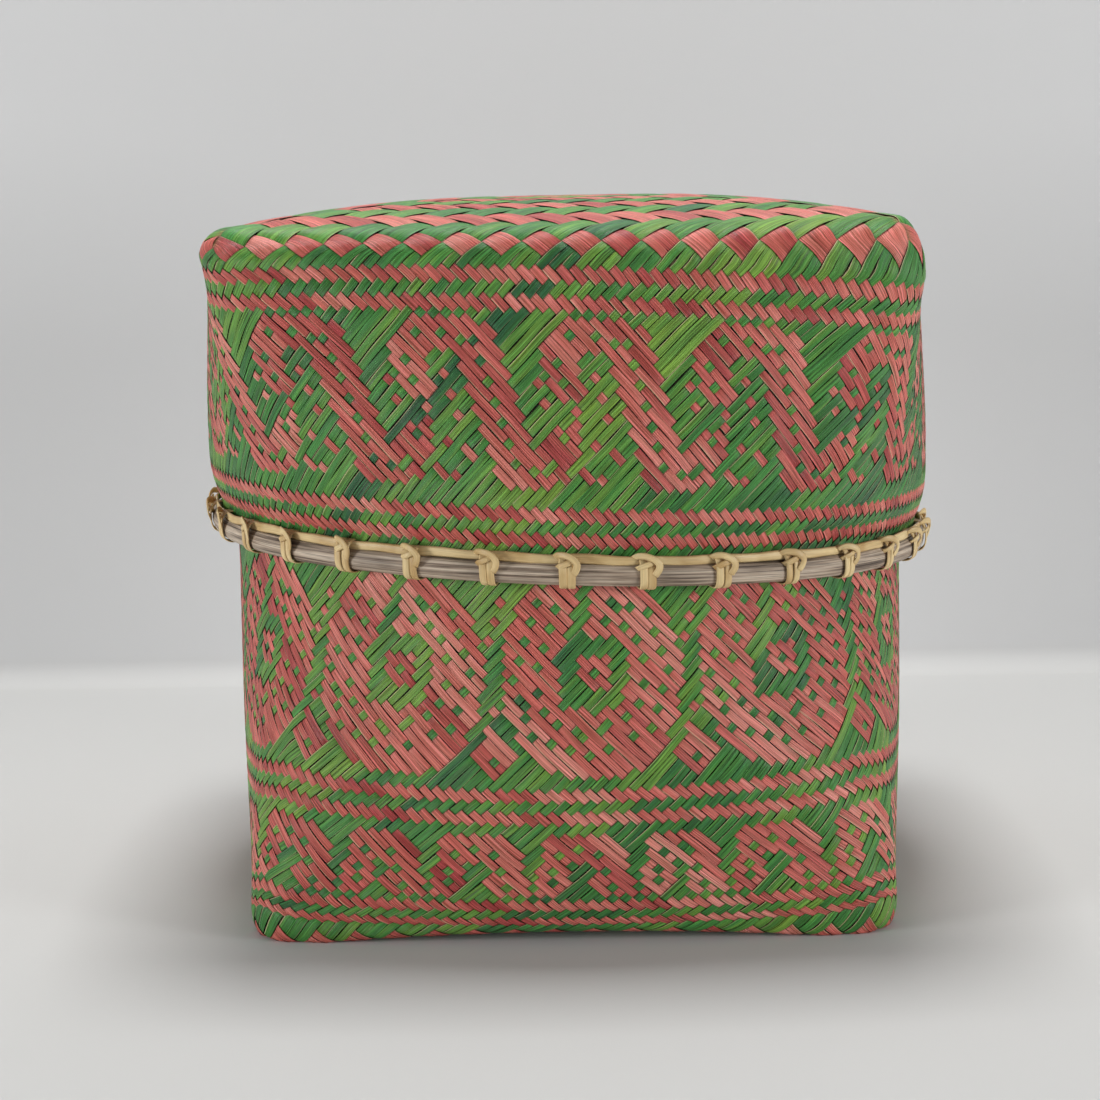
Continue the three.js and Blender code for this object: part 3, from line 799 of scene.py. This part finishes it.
def dyed_bamboo(colours):
    nodes = FibreNodes("dyed_bamboo_finish", colours.green_middle)
    strand = nodes.add("ShaderNodeAttribute", {"attribute_name": "Strand"})
    parts = nodes.add("ShaderNodeSeparateColor", Color=strand.outputs["Color"])
    tone, edge, end = (parts.outputs[name] for name in ("Red", "Green", "Blue"))
    patches = nodes.noise(0.35, 2.5, 2.0)
    streaks = nodes.noise(0.35, 27.0, 1.0, 3.0)
    fine = nodes.noise(0.5, 62.0, 1.0, 7.0)
    shade = nodes.uneven(tone, patches, 1.1)
    green = nodes.ramp(shade, (0.0, colours.green_deep), (0.45, colours.green_middle),
                       (1.0, colours.green_yellow))
    pink = nodes.ramp(shade, (0.0, colours.pink_deep), (0.5, colours.pink_middle), (1.0, colours.pink_pale))
    colour = nodes.blend(end, green, pink)
    # The two fibre ramps darken the lines between fibres. Their pale bluish top stops are a painted sheen
    # along the fibres.
    colour = nodes.tint(1.0, colour, streaks, (0.32, (0.48, 0.42, 0.3)), (0.44, (0.88, 0.86, 0.8)),
                        (0.54, 1.03), (0.68, (1.35, 1.4, 1.6)))
    colour = nodes.tint(0.85, colour, fine, (0.36, (0.42, 0.38, 0.28)), (0.48, 0.95),
                        (0.62, (1.4, 1.4, 1.55)))
    # Pale edges: bare bamboo worn through the dye, and a painted highlight along one side of a strand.
    wear_and_highlight = nodes.math("MULTIPLY", nodes.ramp(edge, (0.78, 0.0), (0.92, 1.0)),
                      nodes.ramp(patches, (0.35, 0.35), (0.6, 1.0)))
    colour = nodes.blend(wear_and_highlight, colour, nodes.blend(0.7, colour, colours.edge_wear_and_highlight))
    # Painted shade: darkens a strand where it passes under others, and on its underside, to nearly black in
    # the gaps.
    colour = nodes.tint(1.0, colour, strand.outputs["Alpha"], (0.0, 0.05), (0.4, 0.5), (0.62, 1.0))
    height = nodes.math("ADD", streaks, nodes.math("MULTIPLY", fine, 0.6))
    return nodes.finish(colour, nodes.roughness(streaks, 0.36, 0.6), height, 0.7, 0.0004, 0.45)


def plain_bamboo(colours):
    nodes = FibreNodes("plain_bamboo_finish", colours.lining)
    strand = nodes.add("ShaderNodeAttribute", {"attribute_name": "Strand"})
    tone = nodes.add("ShaderNodeSeparateColor", Color=strand.outputs["Color"]).outputs["Red"]
    patches = nodes.noise(0.3, 1.0, 2.0)
    streaks = nodes.noise(0.7, 30.0, 4.0, 3.0)
    dark = [part * 0.72 for part in colours.lining]
    colour = nodes.ramp(nodes.uneven(tone, patches, 0.8), (0.0, dark), (1.0, colours.lining))
    colour = nodes.tint(0.5, colour, streaks, (0.32, 0.5), (0.6, 1.0))
    return nodes.finish(colour, nodes.roughness(streaks, 0.45, 0.65), streaks, 0.3, 0.0004, 0.4)


def hoop_bamboo(colours):
    nodes = FibreNodes("hoop_bamboo_finish", colours.hoop_middle)
    streaks = nodes.noise(0.22, 9.0, 5.0)
    fine = nodes.noise(0.4, 34.0, 2.0, 5.0)
    stains = nodes.noise(0.5, 2.0, 3.0, 9.0)
    colour = nodes.ramp(streaks, (0.34, colours.hoop_dark), (0.47, colours.hoop_middle),
                        (0.64, colours.hoop_pale))
    colour = nodes.tint(0.85, colour, fine, (0.34, 0.25), (0.46, 0.85), (0.62, 1.1))
    colour = nodes.tint(0.5, colour, stains, (0.35, 0.55), (0.55, 1.0))
    height = nodes.math("ADD", streaks, fine)
    return nodes.finish(colour, nodes.roughness(fine, 0.4, 0.65), height, 0.4, 0.0005, 0.4)


def rattan_strand(colours):
    nodes = FibreNodes("rattan_strand_finish", colours.rattan)
    patches = nodes.noise(0.6, 1.0, 2.0)
    streaks = nodes.noise(0.7, 26.0, 4.0, 4.0)
    dark = [part * share for part, share in zip(colours.rattan, (0.66, 0.54, 0.4))]
    colour = nodes.ramp(patches, (0.3, dark), (0.56, colours.rattan))
    colour = nodes.tint(0.4, colour, streaks, (0.34, 0.5), (0.58, 1.0))
    return nodes.finish(colour, nodes.roughness(streaks, 0.38, 0.55), streaks, 0.25, 0.0003, 0.45)


FINISHES = {finish.__name__: finish for finish in (dyed_bamboo, plain_bamboo, hoop_bamboo, rattan_strand)}


def finish_of(slot):
    """The material of a slot, made the first time that it is asked for."""
    made = bpy.data.materials.get(f"{slot}_finish")
    return made or FINISHES[slot](bpy.context.scene.woven_box_colours)


# Rims


# The outline of a flat strand's cut end, as shares of its width and thickness
STRAP_SECTION = ((-0.5, 0.0), (-0.3, 0.45), (0.3, 0.45), (0.5, 0.0), (0.3, -0.45), (-0.3, -0.45))


class Rim:
    """A rim. A place is a turn round it (0 to 4), a depth out from the weave, and a height from its edge."""

    def __init__(self, plan, edge, inward, lean, knots):
        self.plan = plan
        self.edge = edge
        self.inward = inward
        self.lean = lean
        self.knots = knots
        out, across = plan_point(*plan, np.linspace(-1, 1, 400))
        self.side_length = float(np.sum(np.hypot(np.diff(out), np.diff(across))))

    def points(self, turn, out, height):
        side = np.floor(turn + 0.5)
        half, straight, corner = (size + out for size in self.plan)
        outward, across = plan_point(half, straight, corner, np.clip((turn - side) * 2, -1, 1))
        x, y = turned(outward, across, QUARTER * (side - 1))
        return np.stack([x, y, self.edge + self.inward * height - self.lean * x], axis=-1)

    def strap(self, middles, widths, depths, width, thickness):
        """A flat strand's rings. Middles, width and depth directions are (along, out, height)."""
        rings = []
        for sideways, depth in STRAP_SECTION:
            place = middles + widths * np.reshape(sideways * width, (-1, 1)) + depths * (depth * thickness)
            rings.append(self.points(place[:, 0] / self.side_length, place[:, 1], place[:, 2]))
        return np.stack(rings, axis=1)


LID_RIM_FRAME = Rim(LID_RIM_PLAN, LID_RIM, 1, LID_LEAN, 32)
BASE_RIM_FRAME = Rim(BASE_RIM_PLAN, BASE_RIM, -1, 0.0, 16)

HOOP_HEIGHT = 7.0
HOOP_SAMPLES = 480
OUTER_HOOP = (0.3, 3.3)
INNER_HOOP = (-4.0, -2.5)


def tube(rings, closed, start=0.0):
    """A solid's quads, facing out, and fibre lengths, from rings of points in a circle or with two ends."""
    samples, edges = rings.shape[:2]
    quads = tube_quads(samples, edges, closed).reshape(-1, 4)
    steps = np.linalg.norm(np.diff(rings.mean(axis=1), axis=0), axis=-1)
    along = running(steps) / 10 + start
    if closed:
        along = np.append(along, along[-1] + steps[0] / 10)
    girth = np.linalg.norm(np.diff(rings[0], axis=0, append=rings[0, :1]), axis=-1)
    fibre = tube_values(along, running(girth) / 10).reshape(-1, 4, 2)
    if not closed:
        last = (samples - 1) * edges
        caps = [[3, 2, 1, 0], [5, 4, 3, 0], [last, last + 1, last + 2, last + 3],
                [last, last + 3, last + 4, last + 5]]
        quads = np.concatenate([quads, np.array(caps)])
        fibre = np.concatenate([fibre, np.repeat(fibre[[0, -1]], 2, axis=0)])
    corners = (rings - rings.mean(axis=(0, 1))).reshape(-1, 3)[quads]
    normal = np.cross(corners[:, 1] - corners[:, 0], corners[:, 3] - corners[:, 0])
    if np.sum(normal * corners.mean(axis=1)) > 0:
        return quads, fibre
    return quads[:, ::-1], fibre[:, ::-1]


def hoop(name, rim, inner, outer, seed):
    """A split bamboo hoop: flat against the weave and round outside, a little uneven along its length."""
    rng = np.random.default_rng(seed)
    turn = np.arange(HOOP_SAMPLES) * 4 / HOOP_SAMPLES
    waves = sum(rng.uniform(0.02, 0.09) * np.sin(QUARTER * turn * number + rng.uniform(0, 6))
                for number in (3, 5, 8, 13, 21))
    rings = []
    for angle in np.linspace(-1, 1, 11) * QUARTER:
        out = inner + (outer - inner) * (0.22 + 0.78 * math.cos(angle) ** 0.75) + waves * math.cos(angle)
        height = HOOP_HEIGHT / 2 + (HOOP_HEIGHT / 2 - 0.05) * math.sin(angle)
        rings.append(rim.points(turn, out, height))
    for value in (1, -1):
        height = HOOP_HEIGHT / 2 + value * (HOOP_HEIGHT / 2 - 0.3)
        rings.append(rim.points(turn, inner, height))
    rings = np.stack(rings, axis=1)
    quads, fibre = tube(rings, True)
    return mesh_object(name, rings.reshape(-1, 3) * MM, quads, finish_of("hoop_bamboo"), fibre)


class Lashing:
    """Collects the straps of one rim's lashing."""

    def __init__(self, rim):
        self.rim = rim
        self.straps = []
        self.count = 0

    def add(self, middles, widths, depths, width, thickness, start):
        rings = self.rim.strap(middles, widths, depths, width, thickness)
        quads, fibre = tube(rings, False, start)
        points = rings.reshape(-1, 3)
        self.straps.append((points * MM, quads + self.count, fibre))
        self.count += len(points)

    def build(self, name):
        points, quads, fibre = (np.concatenate(parts) for parts in zip(*self.straps))
        return mesh_object(name, points, quads, finish_of("rattan_strand"), fibre)


# Directions along a rim, out from the weave and up from the rim's edge
ALONG, OUT, UP = np.eye(3)

# The rattan: the strand that runs along the hoop, and how far a wrap reaches out and up
STRAND_THICKNESS = 0.6
RUNNING_WIDTH = 3.1
RUNNING_THICKNESS = 0.9
RUNNING_OUT = 1.75
RUNNING_UP = HOOP_HEIGHT + 1.4
RUNNING_SAMPLES = 600
WRAP_WIDTH = 2.6
WRAP_LOW = np.array([-4.75, -0.75])
WRAP_HIGH = np.array([4.0, HOOP_HEIGHT + 2.6])
WRAP_ROUNDING = 2.9
WRAP_SAMPLES = 36
COLLAR_WIDTH = 1.9
ARCH_WIDTH = 2.2
CURVE_SAMPLES = 26

# A knot's collar and the arch over it, as places along the rim, out from the weave and up from the edge
KNOT_COLLAR = ((-3.0, 2.9, 5.7), (-2.2, 4.2, 6.5), (-0.9, 4.75, 7.1), (0.6, 4.8, 7.8), (1.9, 4.3, 8.5))
KNOT_ARCH = ((-3.6, 1.9, 8.8), (-2.7, 3.2, 9.7), (-1.0, 4.5, 10.0), (0.8, 5.2, 9.6), (2.3, 5.4, 8.6),
             (3.1, 5.3, 7.3), (3.0, 5.0, 6.0), (2.4, 4.6, 4.7), (1.9, 4.2, 3.9))


def rounded_path(points, count):
    """Even places on a smooth curve through a few points."""
    steps = np.linalg.norm(np.diff(points, axis=0), axis=1)
    ends = running(steps)
    slopes = np.gradient(points, ends, axis=0)
    places = np.linspace(0, ends[-1], count)
    first = np.clip(np.searchsorted(ends, places, side="right") - 1, 0, len(steps) - 1)
    gap = steps[first][:, None]
    share = (places[:, None] - ends[first][:, None]) / gap
    bend = share * (1 - share)
    lean_in = bend * (1 - share) * gap * slopes[first]
    lean_out = bend * share * gap * slopes[first + 1]
    return mix(points[first], points[first + 1], share * share * (3 - 2 * share)) + lean_in - lean_out


def lash(name, rim, seed):
    """A flat strand along the hoop, wrapped twice round the rim at each knot and crossed over itself."""
    rng = np.random.default_rng(seed)
    lashing = Lashing(rim)
    total = 4 * rim.side_length
    along = np.arange(RUNNING_SAMPLES + 4) / RUNNING_SAMPLES * total
    out = RUNNING_OUT + 0.25 * np.sin(along * 0.11) + 0.1 * np.sin(along * 0.37 + 1)
    height = RUNNING_UP + 0.25 * np.sin(along * 0.083 + 2) + 0.15 * np.sin(along * 0.29)
    width = RUNNING_WIDTH + 0.25 * np.sin(along * 0.19)
    lashing.add(np.stack([along, out, height], axis=-1), UP, OUT, width, RUNNING_THICKNESS, 0.0)
    angle = np.arange(WRAP_SAMPLES + 3) / WRAP_SAMPLES * 2 * math.pi + 0.6
    normal = np.stack([np.zeros(angle.size), np.cos(angle), np.sin(angle)], axis=-1)
    rounded = np.sign(normal[:, 1:]) * np.abs(normal[:, 1:]) ** (2 / WRAP_ROUNDING)
    wrap = (WRAP_LOW + WRAP_HIGH) / 2 + (WRAP_HIGH - WRAP_LOW) / 2 * rounded
    lap = np.linspace(0, 0.12, angle.size)[:, None] * normal
    for knot in range(rim.knots):
        middle = knot / rim.knots * total
        for side in (-1, 1):
            wide = WRAP_WIDTH * rng.uniform(0.9, 1.08)
            tilt = rng.normal(0, 0.03) * (wrap[:, 1] - 4)
            beside = middle + side * (wide / 2 + 0.05) + tilt + rng.normal(0, 0.15)
            path = np.stack([beside, *wrap.T], axis=-1) + lap
            lashing.add(path, ALONG, normal, wide, STRAND_THICKNESS, rng.uniform(0, 40))
        lean = rng.uniform(0.92, 1.08)
        for curve, wide in ((KNOT_COLLAR, COLLAR_WIDTH), (KNOT_ARCH, ARCH_WIDTH)):
            places = np.array(curve) * np.array([lean, 1.0, 1.0]) + rng.normal(0, 0.06, (len(curve), 3))
            path = rounded_path(places, CURVE_SAMPLES)
            path[:, 0] += middle
            heading = np.gradient(path, axis=0)
            heading[:, 1] = 0
            heading /= np.linalg.norm(heading, axis=1, keepdims=True)
            sideways = np.stack([-heading[:, 2], heading[:, 1], heading[:, 0]], axis=-1)
            wide = wide * rng.uniform(0.92, 1.08)
            lashing.add(path, sideways, OUT, wide, STRAND_THICKNESS, rng.uniform(0, 40))
    return lashing.build(name)


# Pieces


def weave_half(half, body, node, design, lines, rows, seed):
    """The dyed strands of one half: two colours on each wall, and the strips across the top or bottom."""
    rng = np.random.default_rng(seed)
    half.tones = [dye_tones(4 * half.side_strands, rng), dye_tones(4 * half.side_strands, rng)]
    pattern = wall_pattern(half, design, lines, rows)
    material = finish_of("dyed_bamboo")
    for number, side in enumerate(("front", "right", "back", "left")):
        parts = {
            f"{body}_green_strands_{side}": plait_wall(half, pattern, number, False, rng),
            f"{body}_pink_strands_{side}": plait_wall(half, pattern, number, True, rng),
            f"{body}_wide_strips_{side}": plait_face(half, number, rng),
        }
        for name, plait in parts.items():
            piece = plait.build(name, material)
            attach(piece, body)
            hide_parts(node)


def lining_half(half, body, node, rows, seed):
    """Plain wide strips inside one half, each from rim to rim across the top or bottom, in 2/2 twill."""
    rng = np.random.default_rng(seed)
    plait = Plait()
    reach = half.side_strands / 2
    for side in range(4):
        place = lambda strand, along: half.place(side, strand, along)
        for index in range(half.side_strands // SPLIT):
            own = SPLIT * (index + 0.5) - reach
            lean = half.way * own
            first, last = (lean - rows) / SPLIT, (2 * reach - lean + rows) / SPLIT
            cells = np.arange(math.floor(first), math.ceil(last))
            middle = SPLIT * (cells + 0.5)
            before = middle < reach
            pink = np.round(row_of(before, middle, reach, lean) / SPLIT) % 4 < 2
            state = np.where(pink ^ before, 1.0, -1.0)
            run = (middle[:, None] + SPLIT * np.array([-0.3, 0.3])).ravel()
            kept = row_of(np.repeat(before, 2), run, reach, lean) > -rows
            depth = LINING_MIDDLE - (np.repeat(state, 2) * LINING_SWING)[kept]
            edges = [np.array([own + beside * LINING_HALF_WIDTH]) for beside in (-1, 0, 1, 0)]
            laid = [half.lay(place, edge, run[kept][None]) for edge in edges]
            rises = (0.0, LINING_CROWN, 0.0, -LINING_THICKNESS)
            rings = np.stack([point + normal * (depth - rise)[:, None]
                              for (point, normal), rise in zip(laid, rises)], axis=2)
            steps = np.linalg.norm(np.diff(laid[1][0][0], axis=0), axis=-1)
            length = running(steps) / 10 + rng.uniform(0, 40)
            tone = rng.uniform(0.2, 0.9)
            girth = np.array([0, 0.45, 0.9, 0.45])
            fibre = np.stack(np.broadcast_arrays(length[None, :, None], girth), axis=-1)
            tints = np.broadcast_to(np.array([tone, 0.0, 0.0, 0.5]), (*rings.shape[:3], 4))
            facing = np.cross(rings[0, 5, 2] - rings[0, 5, 0], rings[0, 6, 1] - rings[0, 5, 1])
            plait.add(rings, fibre, tints, np.sum(facing * (rings[0, 5, 1] - INSIDE)) < 0)
    piece = plait.build(f"{body}_plain_lining", finish_of("plain_bamboo"))
    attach(piece, body)
    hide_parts(node)


def hoops_and_lashing(rim, body, seed):
    """One rim's outer and inner hoops, and the strand that binds them."""
    for part, (inner, outer), extra in (("outer", OUTER_HOOP, 0), ("inner", INNER_HOOP, 1)):
        piece = hoop(f"{body}_{part}_rim_hoop", rim, inner, outer, seed + extra)
        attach(piece, body)
        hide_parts(f"{body}_{part}_hoop")
    piece = lash(f"{body}_rim_lashing", rim, seed + 2)
    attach(piece, body)
    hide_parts(f"{body}_lashing")


# The stage, in metres

CAMERA_PLACE = (0.00486, -0.85978, 0.24559)
CAMERA_HEADING = (-0.01367, 0.9999, 0)
CAMERA_PITCH = math.radians(8.803)
CAMERA_ROLL = math.radians(-1.078)
CAMERA_LENS = 78.45
CAMERA_SENSOR = 36
WALL_PLACE = 0.31
WALL_TOP = 2.5
COVE = 0.012
FLOOR_REACH = 3.0

# Each light's place and size, and the setting that holds its power
LIGHTS = (
    ("left_light", (-1.3, -0.75, 0.3), 0.42, "side_lights"),
    ("right_light", (1.3, -0.75, 0.3), 0.42, "side_lights"),
    ("top_light", (0.0, 0.12, 1.5), 0.4, "top_light"),
)
LIGHT_AIM = (0, 0, 0.12)


def make_camera():
    """The camera in front of the box, a little above its rim and slightly rolled."""
    camera = bpy.data.cameras.new("camera")
    camera.lens = CAMERA_LENS
    camera.sensor_width = CAMERA_SENSOR
    heading = Vector(CAMERA_HEADING).normalized()
    level_right = heading.cross(Vector((0, 0, 1))).normalized()
    forward = heading * math.cos(CAMERA_PITCH) - Vector((0, 0, 1)) * math.sin(CAMERA_PITCH)
    level_up = level_right.cross(forward).normalized()
    right = level_right * math.cos(CAMERA_ROLL) + level_up * math.sin(CAMERA_ROLL)
    up = level_up * math.cos(CAMERA_ROLL) - level_right * math.sin(CAMERA_ROLL)
    aimed = Matrix((right, up, -forward)).transposed().to_4x4()
    placed = show("camera", camera)
    placed.matrix_world = Matrix.Translation(Vector(CAMERA_PLACE)) @ aimed
    bpy.context.scene.camera = placed


def make_backdrop(colours):
    """A pale floor that turns up into a wall behind the box."""
    turns = np.linspace(0, QUARTER, 7)
    profile = [(-FLOOR_REACH, 0.0)]
    profile += [(WALL_PLACE - COVE + COVE * math.sin(turn), COVE - COVE * math.cos(turn)) for turn in turns]
    profile += [(WALL_PLACE, WALL_TOP)]
    points = np.array([(side, back, up) for side in (-FLOOR_REACH, FLOOR_REACH) for back, up in profile])
    count = len(profile)
    quads = np.array([[index, count + index, count + index + 1, index + 1] for index in range(count - 1)])
    nodes = Nodes("pale_backdrop", colours.backdrop)
    place = nodes.add("ShaderNodeTexCoord").outputs["Object"]
    height = nodes.add("ShaderNodeSeparateXYZ", Vector=place).outputs["Z"]
    grain = nodes.add("ShaderNodeTexNoise", Vector=place, Scale=3.0, Detail=3.0).outputs["Fac"]
    colour = nodes.ramp(nodes.math("DIVIDE", height, 0.5), (0.0, colours.floor), (0.03, colours.backdrop),
                        (1.0, colours.backdrop))
    colour = nodes.tint(0.12, colour, grain, (0.3, 0.85), (0.7, 1.0))
    material = nodes.finish(colour, 0.85, grain, 0.02, 0.001, 0.1)
    nodes.clear_backs()
    piece = mesh_object("pale_backdrop", points, quads, material)


def make_lights(sizes):
    """An even world light, and soft lights on both sides and above."""
    world = bpy.data.worlds.new("studio")
    world.use_nodes = True
    background = world.node_tree.nodes["Background"]
    background.inputs["Color"].default_value = (1, 1, 1, 1)
    background.inputs["Strength"].default_value = sizes.world_light
    bpy.context.scene.world = world
    for name, place, size, power in LIGHTS:
        light = bpy.data.lights.new(name, "AREA")
        light.size = size
        light.energy = getattr(sizes, power)
        placed = show(name, light)
        placed.location = place
        placed.rotation_euler = (Vector(LIGHT_AIM) - Vector(place)).to_track_quat("-Z", "Y").to_euler()


# The add-on


def colour_property(name, description, default):
    return bpy.props.FloatVectorProperty(name=name, description=description, default=default,
                                         subtype="COLOR", size=3, min=0, max=1)


class WovenBoxColours(bpy.types.PropertyGroup):
    """The dyes and natural colours of the box, and of the room behind it."""

    green_deep: colour_property("Deep green", "Darkest green dye", (0.017, 0.105, 0.032))
    green_middle: colour_property("Green", "Usual green dye", (0.052, 0.23, 0.036))
    green_yellow: colour_property("Yellow green", "Greens that took little dye", (0.19, 0.35, 0.04))
    pink_deep: colour_property("Raspberry", "Darkest pink dye", (0.36, 0.045, 0.042))
    pink_middle: colour_property("Pink", "Usual pink dye", (0.58, 0.135, 0.1))
    pink_pale: colour_property("Salmon", "Pinks that took little dye", (0.7, 0.25, 0.19))
    # Pale bare bamboo at the strands' edges, also used as a painted highlight along one side.
    edge_wear_and_highlight: colour_property("Worn and highlit edge", "Bare bamboo at the strands' edges", (0.75, 0.62, 0.36))
    lining: colour_property("Lining", "Undyed bamboo inside", (0.72, 0.55, 0.32))
    hoop_dark: colour_property("Hoop, dark", "Darkest streaks of the hoops", (0.09, 0.06, 0.04))
    hoop_middle: colour_property("Hoop", "Usual colour of the hoops", (0.37, 0.28, 0.205))
    hoop_pale: colour_property("Hoop, pale", "Palest streaks of the hoops", (0.66, 0.55, 0.43))
    rattan: colour_property("Rattan", "Split rattan of the lashings", (0.75, 0.57, 0.29))
    backdrop: colour_property("Backdrop", "Wall behind the box", (0.585, 0.59, 0.595))
    floor: colour_property("Floor", "Table under the box", (0.55, 0.55, 0.54))


class WovenBoxSizes(bpy.types.PropertyGroup):
    """Counts and levels that a user would change."""

    lid_rows: bpy.props.IntProperty(
        name="Lid rows", description="Rows of plaiting down the lid's wall", default=51)
    base_rows: bpy.props.IntProperty(
        name="Base rows", description="Rows of plaiting up the base's wall", default=113)
    world_light: bpy.props.FloatProperty(
        name="World light", description="Level of the even light", default=0.18)
    side_lights: bpy.props.FloatProperty(
        name="Side lights", description="Power of each light beside the box", default=11.0, unit="POWER")
    top_light: bpy.props.FloatProperty(
        name="Top light", description="Power of the light above", default=17.0, unit="POWER")


class MakeLidWeave(bpy.types.Operator):
    """Plait the lid from dyed strands"""

    bl_idname = "woven_box.lid_weave"
    bl_label = "Lid weave"

    def execute(self, context):
        rows = context.scene.woven_box_sizes.lid_rows
        weave_half(LID, "lid", "lid_weave", lid_design, LID_LINES, rows, 11)
        return {"FINISHED"}


class MakeBaseWeave(bpy.types.Operator):
    """Plait the base from dyed strands"""

    bl_idname = "woven_box.base_weave"
    bl_label = "Base weave"

    def execute(self, context):
        rows = context.scene.woven_box_sizes.base_rows
        weave_half(BASE, "base", "base_weave", base_design, BASE_LINES, rows, 12)
        return {"FINISHED"}


class MakeLinings(bpy.types.Operator):
    """Plait the plain linings of the lid and the base"""

    bl_idname = "woven_box.linings"
    bl_label = "Linings"

    def execute(self, context):
        lining_half(LID, "lid", "lid_lining", context.scene.woven_box_sizes.lid_rows, 21)
        lining_half(BASE, "base", "base_lining", context.scene.woven_box_sizes.base_rows, 22)
        return {"FINISHED"}


class MakeRims(bpy.types.Operator):
    """Bind both rims with split hoops and a rattan lashing"""

    bl_idname = "woven_box.rims"
    bl_label = "Rims"

    def execute(self, context):
        hoops_and_lashing(LID_RIM_FRAME, "lid", 31)
        hoops_and_lashing(BASE_RIM_FRAME, "base", 41)
        return {"FINISHED"}


class MakeStage(bpy.types.Operator):
    """Set the camera, the lights and the pale backdrop"""

    bl_idname = "woven_box.stage"
    bl_label = "Stage"

    def execute(self, context):
        make_camera()
        make_backdrop(context.scene.woven_box_colours)
        make_lights(context.scene.woven_box_sizes)
        context.scene.view_settings.view_transform = "Standard"
        return {"FINISHED"}


OPERATORS = (MakeLidWeave, MakeBaseWeave, MakeLinings, MakeRims, MakeStage)


class WovenBoxPanel(bpy.types.Panel):
    """Lists the box's colours, counts and pieces."""

    bl_idname = "VIEW3D_PT_woven_box"
    bl_label = "Woven box"
    bl_space_type = "VIEW_3D"
    bl_region_type = "UI"
    bl_category = "Woven box"

    def draw(self, context):
        for group in (context.scene.woven_box_sizes, context.scene.woven_box_colours):
            for name in group.bl_rna.properties.keys():
                if name not in ("rna_type", "name"):
                    self.layout.prop(group, name)
        for operator in OPERATORS:
            self.layout.operator(operator.bl_idname)


CLASSES = (WovenBoxColours, WovenBoxSizes, *OPERATORS, WovenBoxPanel)


def register():
    for part in CLASSES:
        bpy.utils.register_class(part)
    bpy.types.Scene.woven_box_colours = bpy.props.PointerProperty(type=WovenBoxColours)
    bpy.types.Scene.woven_box_sizes = bpy.props.PointerProperty(type=WovenBoxSizes)


def unregister():
    del bpy.types.Scene.woven_box_sizes
    del bpy.types.Scene.woven_box_colours
    for part in reversed(CLASSES):
        bpy.utils.unregister_class(part)


def main():
    register()
    bpy.ops.woven_box.stage()
    bpy.ops.woven_box.lid_weave()
    bpy.ops.woven_box.base_weave()
    bpy.ops.woven_box.linings()
    bpy.ops.woven_box.rims()


if __name__ == "__main__":
    main()
